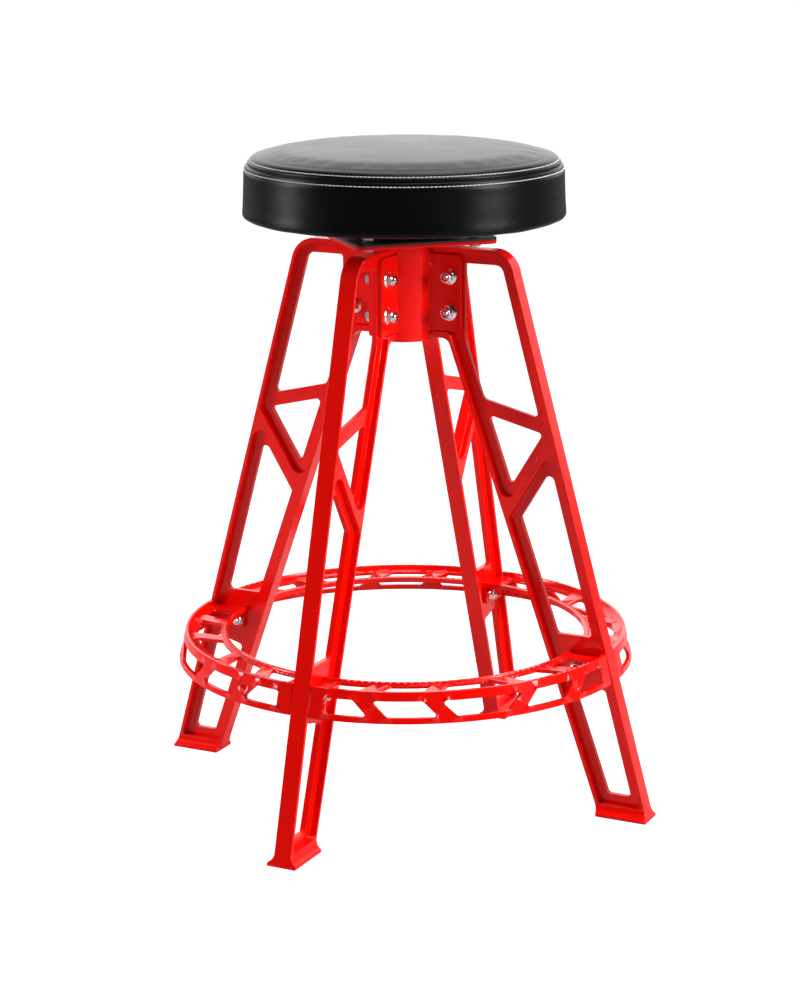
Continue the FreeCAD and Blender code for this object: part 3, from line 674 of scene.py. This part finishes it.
def hexagon(name, low, high):
    """A six-sided bar whose corners are turned off at its upper end."""
    corner = ACROSS_FLATS / math.sqrt(3)
    outside = corner * 1.05
    flat_circle = ACROSS_FLATS / 2 * 0.94
    select_nothing()
    bpy.ops.mesh.primitive_cylinder_add(
        vertices=6, radius=corner, depth=high - low, location=(0, 0, (low + high) / 2)
    )
    piece = named(name)
    profile = [
        (0, low - HEX_CHAMFER), (outside, low - HEX_CHAMFER), (outside, high - HEX_CHAMFER * 1.5),
        (flat_circle, high), (0, high),
    ]
    cutter = turned_profile("turning", profile, TURNED_STEPS)
    modify(piece, "BOOLEAN", operation="INTERSECT", object=cutter, solver="EXACT")
    bpy.data.objects.remove(cutter)
    return piece


def thread(low, high):
    """A screw thread's helix between two heights, with its ends run out into the core."""
    profile = [
        (CORE_RADIUS, 0.0), (BOLT_RADIUS, 0.45 * BOLT_PITCH), (BOLT_RADIUS, 0.55 * BOLT_PITCH),
        (CORE_RADIUS, BOLT_PITCH),
    ]
    steps = 24
    last = int(round((high - low) / BOLT_PITCH)) * steps
    points = []
    for step in range(last + 1):
        turn = 2 * math.pi * step / steps
        rise = low + BOLT_PITCH * step / steps
        grown = min(step, last - step, steps) / steps
        for radius, z in profile:
            reach = CORE_RADIUS + (radius - CORE_RADIUS) * grown
            height = min(max(rise + z - BOLT_PITCH / 2, low), high)
            points.append((reach * math.cos(turn), reach * math.sin(turn), height))
    row = len(profile)
    faces = []
    for step in range(last):
        for side in range(row - 1):
            first = step * row + side
            faces.append((first, first + row, first + row + 1, first + 1))
    return from_points("thread", points, faces)


def flange_profile(bore, side):
    """A flange's section from its bore out and back, above its seat (side 1) or below (-1)."""
    rim = FLANGE_RADIUS - EDGE_BREAK
    top = FLANGE_RIM + FLANGE_RISE
    section = [
        (bore, 0.0), (rim, 0.0), (FLANGE_RADIUS, EDGE_BREAK),
        (FLANGE_RADIUS, FLANGE_RIM - EDGE_BREAK), (rim, FLANGE_RIM), (ACROSS_FLATS / 2, top),
        (bore, top),
    ]
    return [(radius, side * height) for radius, height in section]


def bolt_master(length, head, flanged):
    """A bolt with its seat at z = 0: turned hexagon head, flange, shank and threaded end."""
    parts = []
    if flanged:
        parts.append(turned_profile("flange", flange_profile(0.9 * BOLT_RADIUS, 1), TURNED_STEPS))
    parts.append(hexagon("head", EDGE_BREAK if flanged else 0.0, head))
    in_head = 0.5 * MM
    tip = 1.0 * MM
    plain = length - THREADED_LENGTH if length > 20 * MM else 0.3 * length
    profile = [
        (0.0, in_head), (BOLT_RADIUS, in_head), (BOLT_RADIUS, -plain), (CORE_RADIUS, -plain - 0.4 * MM),
        (CORE_RADIUS, -length + tip), (CORE_RADIUS - 0.7 * tip, -length), (0.0, -length),
    ]
    parts.append(turned_profile("shank", profile, 32))
    parts.append(thread(-length + 0.4 * tip, -plain - 0.2 * MM))
    return joined("bolt", parts)


def collar_profile(height):
    """The section of a lock nut's collar, whose lip is rolled in over the insert."""
    inside = COLLAR_RADIUS - COLLAR_WALL
    root = COLLAR_HEIGHT + 0.5 * MM
    section = [
        (inside, root), (COLLAR_RADIUS, root), (COLLAR_RADIUS, 1.1 * MM),
        (COLLAR_RADIUS - 0.5 * MM, 0.3 * MM), (COLLAR_RADIUS - 1.3 * MM, 0.0),
        (COLLAR_RADIUS - 1.7 * MM, 0.1 * MM), (inside, 0.8 * MM), (inside, root),
    ]
    return [(radius, up - height) for radius, up in section]


def insert_profile(height):
    """The section of the dark ring inside a lock nut's collar."""
    bore = BOLT_RADIUS - 0.2 * MM
    inside = COLLAR_RADIUS - COLLAR_WALL
    root = COLLAR_HEIGHT + 0.6 * MM
    section = [
        (bore, 0.55 * MM), (BOLT_RADIUS, 0.35 * MM), (inside - 0.1 * MM, 0.3 * MM), (inside, root),
        (bore, root), (bore, 0.55 * MM),
    ]
    return [(radius, up - height) for radius, up in section]


def nut_master(height, flanged, lock):
    """A nut below its seat at z = 0, with its outer end down. A lock nut has a round collar
    that holds a dark insert."""
    body = hexagon("nut", 0.0, height - COLLAR_HEIGHT if lock else height)
    body.data.transform(Matrix.Rotation(math.pi, 4, "X"))
    past = 1 * MM
    hole = [(0, past), (BOLT_RADIUS, past), (BOLT_RADIUS, -height - past), (0, -height - past)]
    bore = turned_profile("bore", hole, TURNED_STEPS)
    modify(body, "BOOLEAN", operation="DIFFERENCE", object=bore, solver="EXACT")
    bpy.data.objects.remove(bore)
    parts = [body]
    if flanged:
        profile = flange_profile(BOLT_RADIUS, -1)
        parts.append(turned_profile("flange", profile + profile[:1], TURNED_STEPS))
    if lock:
        parts.append(turned_profile("collar", collar_profile(height), TURNED_STEPS))
    master = joined("nut", parts)
    smooth(master, FASTENER_SMOOTH)
    coat(master, "zinc", "nylon")
    if lock:
        insert = turned_profile("insert", insert_profile(height), TURNED_STEPS)
        smooth(insert, FASTENER_SMOOTH)
        coat(insert, "zinc", "nylon")
        for face in insert.data.polygons:
            face.material_index = 1
        master = joined("nut", [master, insert])
    return master


def fit_bolts(bolt_node, nut_node, head, flanged=False, lock=True):
    """Replace a node of bolts and the node of their nuts by detailed ones."""
    places = bolt_places(bolt_node, head)
    bolt = bolt_master(places[0][1], head, flanged)
    smooth(bolt, FASTENER_SMOOTH)
    coat(bolt, "zinc")
    bolts = stamped(bolt_node + "_set", bolt, [place for place, _ in places])
    seats = []
    for points in solids_of(nut_node):
        middle = sum(points, Vector()) / len(points)
        nearest = min(places, key=lambda item: (item[0].translation - middle).length)[0]
        start = nearest.translation
        toward = nearest.to_3x3() @ Vector((0, 0, 1))
        seat = start + toward * max((point - start).dot(toward) for point in points)
        seats.append(Matrix.Translation(seat) @ nearest.to_3x3().to_4x4())
    nut = nut_master(depth_of(nut_node), flanged, lock)
    nuts = stamped(nut_node + "_set", nut, seats)
    for piece, node in ((bolts, bolt_node), (nuts, nut_node)):
        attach(piece, "frame")
        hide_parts(node)


def depth_of(node):
    """Thickness of a nut along its own axis, which is its shortest side."""
    points = solids_of(node)[0]
    return min(max(p[i] for p in points) - min(p[i] for p in points) for i in range(3))


class STOOL_OT_leg_bolts(StoolTool, bpy.types.Operator):
    """Fit flanged bolts and lock nuts that clamp the legs in the hub's ears"""
    bl_idname = "stool.leg_bolts"
    bl_label = "Leg bolts"

    def execute(self, context):
        fit_bolts("leg_bolts", "leg_nuts", FLANGED_HEAD, flanged=True)
        return {"FINISHED"}


class STOOL_OT_ring_bolts(StoolTool, bpy.types.Operator):
    """Fit the bolts and lock nuts that clamp the foot ring to the legs"""
    bl_idname = "stool.ring_bolts"
    bl_label = "Ring bolts"

    def execute(self, context):
        fit_bolts("ring_bolts", "ring_nuts", PLAIN_HEAD)
        return {"FINISHED"}


class STOOL_OT_plate_bolts(StoolTool, bpy.types.Operator):
    """Fit the bolts and thin nuts that hold the swivel on the hub"""
    bl_idname = "stool.plate_bolts"
    bl_label = "Swivel plate bolts"

    def execute(self, context):
        fit_bolts("swivel_plate_bolts", "swivel_plate_nuts", PLAIN_HEAD, lock=False)
        return {"FINISHED"}


# Swivel

class STOOL_OT_swivel(StoolTool, bpy.types.Operator):
    """Round the swivel plates' edges and finish the plates, pivot, balls and cage"""
    bl_idname = "stool.swivel"
    bl_label = "Swivel"

    def execute(self, context):
        for node, body in zip(SWIVEL_PLATES, ("frame", "seat")):
            piece = copy_of(node, node + "_pressing")
            round_edges(piece, context.scene.stool_finish.sheet_round)
            coat(piece, "black_steel")
            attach(piece, body)
            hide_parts(node)
        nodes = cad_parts
        coat(nodes["swivel_pivot"], "zinc")
        coat(nodes["swivel_balls"], "bearing_steel")
        coat(nodes["ball_retainer"], "cage_brass")
        coat(nodes["seat_screws"], "zinc")
        return {"FINISHED"}


# Seat

# The cover's thickness, its hem, turned in under the board, and its section's divisions
COVER_THICKNESS = 1.1 * MM
HEM_GAP = 0.3 * MM
HEM_LIFT = 0.35 * MM
HEM_TURN = 1.5 * MM
HEM_FLAT = 3 * MM
HEM_STEPS = 10
SIDE_ROWS = 16
SHOULDER_STEPS = 46
CROWN_STEPS = 30
# The cloth simulation of the cover's form, and the strips of it that are held
FORM_VOXEL = 5 * MM
FORM_PRESSURE = 4.0
FORM_FRAMES = 20
HELD_BY_SEAM = 4 * MM
HELD_BY_HEM = 6 * MM
# The strips of the cover that keep to the sewn section, and how fast that hold fades
SEWN_BY_SEAM = 8 * MM
SEAM_FADE = 10 * MM
SEWN_BY_HEM = 8 * MM
HEM_FADE = 8 * MM
# Widths of the seam's furrow, the stitches' dips and the puff between them, and how far up
# the side the hem's waves reach
FURROW_WIDTH = 1.3 * MM
DIP_WIDTH = 1.7 * MM
PUFF_WIDTH = 1.6 * MM
WAVE_HEIGHT = 30 * MM


def arc_points(centre, radius, start, end, count):
    """Points on an arc in the profile plane, angles in radians from the outward line."""
    points = []
    for step in range(count + 1):
        turn = start + (end - start) * step / count
        points.append((centre[0] + radius * math.cos(turn), centre[1] + radius * math.sin(turn)))
    return points


def seat_section(inset=0.0):
    """The seat's outer section from the hem to the middle of the top, as (radius, height)
    points, drawn in evenly by the inset."""
    seat = bpy.context.scene.stool_seat
    hem = Vector((SEAT_RADIUS - seat.hem_round, SEAT_BOTTOM + seat.hem_round))
    out = Vector((math.cos(seat.side_lean), math.sin(seat.side_lean)))
    up = Vector((-out.y, out.x))
    crown = Vector((0.0, SEAT_TOP - seat.crown))
    start = hem + out * (seat.hem_round - seat.shoulder)
    away = start - crown
    reach = seat.crown - seat.shoulder
    along = math.sqrt(away.dot(up) ** 2 - away.dot(away) + reach ** 2) - away.dot(up)
    bend = start + up * along
    ridge = math.atan2(bend.y - crown.y, bend.x)
    points = [(hem.x - HEM_FLAT, SEAT_BOTTOM + inset)]
    points += arc_points(hem, seat.hem_round - inset, -math.pi / 2, seat.side_lean, HEM_STEPS)
    foot = hem + out * (seat.hem_round - inset)
    shoulder = bend + out * (seat.shoulder - inset)
    for row in range(1, SIDE_ROWS):
        points.append(tuple(foot.lerp(shoulder, row / SIDE_ROWS)))
    points += arc_points(bend, seat.shoulder - inset, seat.side_lean, ridge, SHOULDER_STEPS)
    points += arc_points(crown, seat.crown - inset, ridge, math.pi / 2, CROWN_STEPS)[1:]
    return points


def seat_profile():
    """The cover's section in two lists of (radius, height): the side band from its free hem
    under the board up to the seam, and the top panel from the seam to the middle."""
    points = seat_section()
    over = next(index for index, point in enumerate(points) if point[1] > SEAM_Z)
    low, high = points[over - 1], points[over]
    share = (SEAM_Z - low[1]) / (high[1] - low[1])
    seam = (low[0] + (high[0] - low[0]) * share, SEAM_Z)
    hem = [(CLOTH_RADIUS + HEM_GAP, SEAT_BOTTOM + HEM_LIFT), (CLOTH_RADIUS + HEM_TURN, SEAT_BOTTOM)]
    return hem + points[:over] + [seam], [seam] + points[over:]


def filled_form():
    """The seat's closed form after its cover has been blown out against the padding: a
    guide for the cover, simulated as cloth and then made smooth."""
    seat = bpy.context.scene.stool_seat
    points = [(0.0, SEAT_BOTTOM)] + seat_section(0.2 * seat.swell)
    form = turned_profile("form", points, 120)
    form.data.remesh_voxel_size = FORM_VOXEL
    bpy.ops.object.voxel_remesh()
    still = [vertex.co.copy() for vertex in form.data.vertices]
    held = form.vertex_groups.new(name="held")
    for vertex in form.data.vertices:
        outside = vertex.co.xy.length > SEAT_RADIUS * 0.9
        near_seam = outside and abs(vertex.co.z - SEAM_Z) < HELD_BY_SEAM
        if near_seam or vertex.co.z < SEAT_BOTTOM + HELD_BY_HEM:
            held.add([vertex.index], 1.0, "REPLACE")
    cloth = form.modifiers.new("cloth", "CLOTH")
    cloth.settings.use_pressure = True
    cloth.settings.uniform_pressure_force = FORM_PRESSURE
    cloth.settings.effector_weights.gravity = 0.0
    cloth.settings.vertex_group_mass = "held"
    scene = bpy.context.scene
    for count in range(1, FORM_FRAMES + 1):
        scene.frame_set(count)
    bpy.ops.object.modifier_apply(modifier=cloth.name)
    scene.frame_set(1)
    for vertex, start in zip(form.data.vertices, still):
        move = vertex.co - start
        if move.length > seat.swell:
            vertex.co = start + move * (seat.swell / move.length)
    modify(form, "SUBSURF", levels=1, render_levels=1)
    modify(form, "SMOOTH", factor=0.5, iterations=12)
    return form


def ease(value):
    """A soft step from 0 to 1."""
    value = min(max(value, 0.0), 1.0)
    return value * value * (3 - 2 * value)


def bell(distance, width):
    """1 at no distance, falling softly to 0 within about twice the width."""
    return math.exp(-((distance / width) ** 2))


def fill_out(piece, form, seam):
    """Lay the cover on the filled form, but for its hem and the sewn strips by the seam."""
    loose = piece.vertex_groups.new(name="loose")
    for vertex in piece.data.vertices:
        away = math.hypot(vertex.co.xy.length - seam[0], vertex.co.z - seam[1])
        above = vertex.co.z - SEAT_BOTTOM
        weight = ease((away - SEWN_BY_SEAM) / SEAM_FADE) * ease((above - SEWN_BY_HEM) / HEM_FADE)
        if weight > 0:
            loose.add([vertex.index], weight, "REPLACE")
    modify(piece, "SHRINKWRAP", target=form, wrap_method="NEAREST_SURFACEPOINT", vertex_group="loose")
    modify(piece, "SMOOTH", factor=0.5, iterations=6, vertex_group="loose")


def sew(piece, seam, out):
    """Pull the cover in along the seam and at every stitch, and let its hem run in waves."""
    seat = bpy.context.scene.stool_seat
    for vertex in piece.data.vertices:
        radius = vertex.co.xy.length
        if radius < SEAT_RADIUS / 2:
            continue
        turn = math.atan2(vertex.co.y, vertex.co.x)
        away = math.hypot(radius - seam[0], vertex.co.z - seam[1])
        hole = 0.5 + 0.5 * math.cos(seat.stitches * turn)
        furrow = seat.seam_depth * bell(away, FURROW_WIDTH)
        pulled = bell(away - seat.stitch_offset, DIP_WIDTH) * (0.4 + 0.6 * hole)
        puffed = bell(away - seat.stitch_offset / 2, PUFF_WIDTH)
        depth = furrow + seat.stitch_dip * (pulled - 0.4 * puffed)
        sunk = ease(1 - (vertex.co.z - SEAT_BOTTOM) / WAVE_HEIGHT)
        wave = 0.5 * math.sin(5 * turn + 0.7) + 0.3 * math.sin(11 * turn + 2.1) + 0.2 * math.sin(23 * turn)
        unit = Vector((vertex.co.x / radius, vertex.co.y / radius, 0.0))
        vertex.co -= (unit * out[0] + Vector((0, 0, out[1]))) * depth
        vertex.co += unit * (0.5 * wave * seat.wave * sunk) + Vector((0, 0, wave * seat.wave * sunk))


def along_profile(points, distance):
    """The point this far along a profile, and the profile's direction there."""
    for first, second in zip(points, points[1:]):
        step = math.hypot(second[0] - first[0], second[1] - first[1])
        if distance <= step:
            share = distance / step
            spot = (first[0] + (second[0] - first[0]) * share, first[1] + (second[1] - first[1]) * share)
            return spot, ((second[0] - first[0]) / step, (second[1] - first[1]) / step)
        distance -= step
    raise ValueError("the profile is shorter than the distance")


def stitch_row(name, spot, direction, phase):
    """One row of stitches round the seat: short threads that dip into the cover at both ends.
    The phase starts the row's own random slants."""
    seat = bpy.context.scene.stool_seat
    count, thick, dip = seat.stitches, seat.thread, 0.4 * seat.stitch_dip
    radius, height = spot
    out = Vector((direction[1], 0, -direction[0]))
    if out.x < 0:
        out.negate()
    up = Vector((direction[0], 0, direction[1]))
    reach = 0.40 * (2 * math.pi * radius / count)
    straight = 0.6 * reach
    select_nothing()
    bpy.ops.mesh.primitive_cylinder_add(vertices=8, radius=thick / 2, depth=2 * reach)
    stitch = named("stitch")
    bpy.ops.object.mode_set(mode="EDIT")
    for cut in (straight, -straight):
        bpy.ops.mesh.select_all(action="SELECT")
        bpy.ops.mesh.bisect(plane_co=(0, 0, cut), plane_no=(0, 0, 1))
    bpy.ops.object.mode_set(mode="OBJECT")
    for vertex in stitch.data.vertices:
        share = abs(vertex.co.z) / reach
        vertex.co.x -= 0.75 * thick * share ** 3
    smooth(stitch, 60)
    basis = Matrix((out, up, Vector((0, 1, 0)))).transposed().to_4x4()
    laid = Matrix.Translation(Vector((radius, 0, height)) + out * (0.3 * thick - dip)) @ basis
    seeded = random.Random(phase)
    places = []
    for index in range(count):
        turn = 2 * math.pi * (index + 0.5) / count
        slant = math.radians(seeded.uniform(-4, 4))
        local = laid @ Matrix.Rotation(slant, 4, "X")
        places.append(Matrix.Rotation(turn, 4, "Z") @ local)
    row = stamped(name, stitch, places)
    coat(row, "thread_white")
    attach(row, "seat")


class STOOL_OT_cushion(StoolTool, bpy.types.Operator):
    """Make the padded cover: a side band and a crowned top panel, joined at a seam"""
    bl_idname = "stool.cushion"
    bl_label = "Cushion"

    def execute(self, context):
        band_points, top_points = seat_profile()
        seam = band_points[-1]
        _, way = along_profile(top_points, 2 * MM)
        out = (way[1], -way[0])
        steps = 2 * context.scene.stool_seat.stitches
        # The top piece is closed: its inner side runs over the board and up to the seam.
        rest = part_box("seat_board")[1].z + 0.4 * MM
        wall = seam[0] - 4 * MM
        inner = [(0.0, rest), (wall, rest), (wall, SEAM_Z - 2 * MM), (seam[0] - 2.4 * MM, SEAM_Z)]
        band = turned_profile("seat_cover_band", band_points, steps)
        top = turned_profile("seat_cover_top", inner + top_points, steps)
        form = filled_form()
        for piece, nodes in ((band, ("seat_side_band",)), (top, ("seat_top_panel", "seat_foam"))):
            if form:
                fill_out(piece, form, seam)
            sew(piece, seam, out)
            if piece is band:
                modify(piece, "SOLIDIFY", thickness=COVER_THICKNESS, offset=-1)
            smooth(piece, 60)
            coat(piece, "black_vinyl")
            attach(piece, "seat")
            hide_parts(*nodes)
        if form:
            bpy.data.objects.remove(form)
        return {"FINISHED"}


class STOOL_OT_stitching(StoolTool, bpy.types.Operator):
    """Sew the two rows of white stitches, one on each side of the seam"""
    bl_idname = "stool.stitching"
    bl_label = "Stitching"

    def execute(self, context):
        seat = context.scene.stool_seat
        band_points, top_points = seat_profile()
        low, low_way = along_profile(band_points[::-1], seat.stitch_offset)
        high, high_way = along_profile(top_points, seat.stitch_offset)
        stitch_row("stitching_lower", low, low_way, 3)
        stitch_row("stitching_upper", high, high_way, 8)
        return {"FINISHED"}


class STOOL_OT_underside(StoolTool, bpy.types.Operator):
    """Make the dust cover under the seat's board and finish the board"""
    bl_idname = "stool.underside"
    bl_label = "Seat underside"

    def execute(self, context):
        coat(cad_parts["seat_board"], "plywood")
        piece = copy_of("seat_dust_cover", "underside_cloth")
        smooth(piece, 40)
        coat(piece, "black_cloth")
        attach(piece, "seat")
        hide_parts("seat_dust_cover")
        return {"FINISHED"}


# Studio

# What the camera was aimed about, and its small turns from there, as measured on the photograph
AIM_HEIGHT = 0.35
CAMERA_PAN = math.radians(0.11)
CAMERA_TILT = math.radians(-0.32)
CAMERA_ROLL = math.radians(0.18)


def aim(stage):
    """The camera's place and turn for the stage's settings."""
    level = math.cos(stage.elevation)
    back = Vector((
        math.sin(stage.azimuth) * level, -math.cos(stage.azimuth) * level, math.sin(stage.elevation)
    ))
    turn = (-back).to_track_quat("-Z", "Y").to_matrix()
    turn = Matrix.Rotation(CAMERA_PAN, 3, turn.col[1]) @ turn
    turn = Matrix.Rotation(CAMERA_TILT, 3, turn.col[0]) @ turn
    turn = Matrix.Rotation(CAMERA_ROLL, 3, -turn.col[2]) @ turn
    return Vector((0, 0, AIM_HEIGHT)) + back * stage.distance, turn


def area_light(name, place, aimed_at, size, power):
    """A rectangular soft light."""
    light = bpy.data.lights.new(name, "AREA")
    light.shape = "RECTANGLE"
    light.size, light.size_y = size
    light.energy = power
    lamp = bpy.data.objects.new(name, light)
    lamp.location = place
    lamp.rotation_euler = (Vector(aimed_at) - Vector(place)).to_track_quat("-Z", "Y").to_euler()
    bpy.context.scene.collection.objects.link(lamp)


class STOOL_OT_studio(StoolTool, bpy.types.Operator):
    """Set up the floor, the lights, the white surroundings and the camera"""
    bl_idname = "stool.studio"
    bl_label = "Studio"

    def execute(self, context):
        scene = context.scene
        place, turn = aim(scene.stool_stage)
        camera = bpy.data.objects.new("camera", bpy.data.cameras.new("camera"))
        camera.data.lens = scene.stool_stage.lens
        camera.data.sensor_width = 36.0
        camera.data.clip_end = 100
        camera.matrix_world = Matrix.Translation(place) @ turn.to_4x4()
        scene.collection.objects.link(camera)
        scene.camera = camera
        select_nothing()
        bpy.ops.mesh.primitive_plane_add(size=40)
        floor = named("floor")
        floor.data.materials.append(floor_paint())
        area_light("right_softbox", (2.5, 0.0, 1.5), aimed_at=(0, 0, 0.4), size=(0.6, 1.8), power=92)
        area_light("left_softbox", (-2.2, -1.2, 1.3), aimed_at=(0, 0, 0.45), size=(0.45, 1.8), power=52)
        area_light("top_softbox", (0.2, 0.5, 2.6), aimed_at=(0, 0, 0.3), size=(1.4, 1.4), power=34)
        scene.world = surroundings()
        scene.view_settings.view_transform = "Standard"
        return {"FINISHED"}


def floor_paint():
    """A pale floor that shows white to the camera and keeps the stool's shadow."""
    finish = Finish("floor_paint")
    cloud = finish.cloud(0.4, 2)
    base = finish.blend(cloud, linear((178, 178, 178)), linear((184, 184, 184)))
    matte = finish.node("ShaderNodeBsdfDiffuse", {}, {"Color": base})
    glow = finish.node("ShaderNodeEmission", {}, {"Color": (1, 1, 1, 1), "Strength": 0.84})
    seen = finish.node("ShaderNodeLightPath", {}, {}, "Is Camera Ray")
    added = finish.node("ShaderNodeMixShader", {}, {0: seen, 2: glow})
    both = finish.node("ShaderNodeAddShader", {}, {0: matte, 1: added})
    finish.node("ShaderNodeOutputMaterial", {}, {"Surface": both})
    return finish.made


def wall_light(finish, facing, spread, brightness):
    """Light from all round that grows over this spread of directions away from the camera."""
    strength = finish.node("ShaderNodeMapRange", {}, {
        "Value": facing, "From Min": spread[0], "From Max": spread[1],
        "To Min": brightness[0], "To Max": brightness[1],
    })
    return finish.node("ShaderNodeBackground", {}, {"Color": (1, 1, 1, 1), "Strength": strength})


def surroundings():
    """White to the camera. To other rays it is a room that is darker on the camera's side,
    and to mirrored ones a room with more contrast."""
    finish = Finish("surroundings", "worlds")
    behind_stool = (-0.44, 0.90, 0.0)
    place = finish.node("ShaderNodeTexCoord", {}, {}, "Generated")
    facing = finish.node(
        "ShaderNodeVectorMath", {"operation": "DOT_PRODUCT"}, {0: place, 1: behind_stool}, "Value"
    )
    room = wall_light(finish, facing, (-0.6, 0.3), (0.05, 0.6))
    mirrored = wall_light(finish, facing, (0.3, 0.85), (0.02, 1.7))
    white = finish.node("ShaderNodeBackground", {}, {"Color": (1, 1, 1, 1), "Strength": 1.0})
    glossy = finish.node("ShaderNodeLightPath", {}, {}, "Is Glossy Ray")
    camera = finish.node("ShaderNodeLightPath", {}, {}, "Is Camera Ray")
    lit = finish.node("ShaderNodeMixShader", {}, {0: glossy, 1: room, 2: mirrored})
    seen = finish.node("ShaderNodeMixShader", {}, {0: camera, 1: lit, 2: white})
    finish.node("ShaderNodeOutputWorld", {}, {"Surface": seen})
    return finish.made


class STOOL_PT_panel(bpy.types.Panel):
    """The stool's steps, in order"""
    bl_idname = "STOOL_PT_panel"
    bl_label = "Stool"
    bl_space_type = "VIEW_3D"
    bl_region_type = "UI"
    bl_category = "Stool"

    def draw(self, context):
        scene = context.scene
        for group in (scene.stool_finish, scene.stool_seat, scene.stool_stage):
            box = self.layout.box()
            for name in group.bl_rna.properties.keys():
                if name not in ("rna_type", "name"):
                    box.prop(group, name)
        for step in STEPS:
            self.layout.operator(step.bl_idname)


STEPS = (
    STOOL_OT_castings,
    STOOL_OT_leg_bolts,
    STOOL_OT_ring_bolts,
    STOOL_OT_plate_bolts,
    STOOL_OT_swivel,
    STOOL_OT_cushion,
    STOOL_OT_stitching,
    STOOL_OT_underside,
    STOOL_OT_studio,
)
GROUPS = (("stool_finish", StoolFinish), ("stool_seat", StoolSeat), ("stool_stage", StoolStage))


def register():
    for name, group in GROUPS:
        bpy.utils.register_class(group)
        setattr(bpy.types.Scene, name, PointerProperty(type=group))
    for step in STEPS:
        bpy.utils.register_class(step)
    bpy.utils.register_class(STOOL_PT_panel)


def unregister():
    bpy.utils.unregister_class(STOOL_PT_panel)
    for step in reversed(STEPS):
        bpy.utils.unregister_class(step)
    for name, group in reversed(GROUPS):
        delattr(bpy.types.Scene, name)
        bpy.utils.unregister_class(group)


def main():
    """Make the stool's finish step by step."""
    register()
    bpy.ops.stool.castings()
    bpy.ops.stool.leg_bolts()
    bpy.ops.stool.ring_bolts()
    bpy.ops.stool.plate_bolts()
    bpy.ops.stool.swivel()
    bpy.ops.stool.cushion()
    bpy.ops.stool.stitching()
    bpy.ops.stool.underside()
    bpy.ops.stool.studio()


if __name__ == "__main__":
    main()
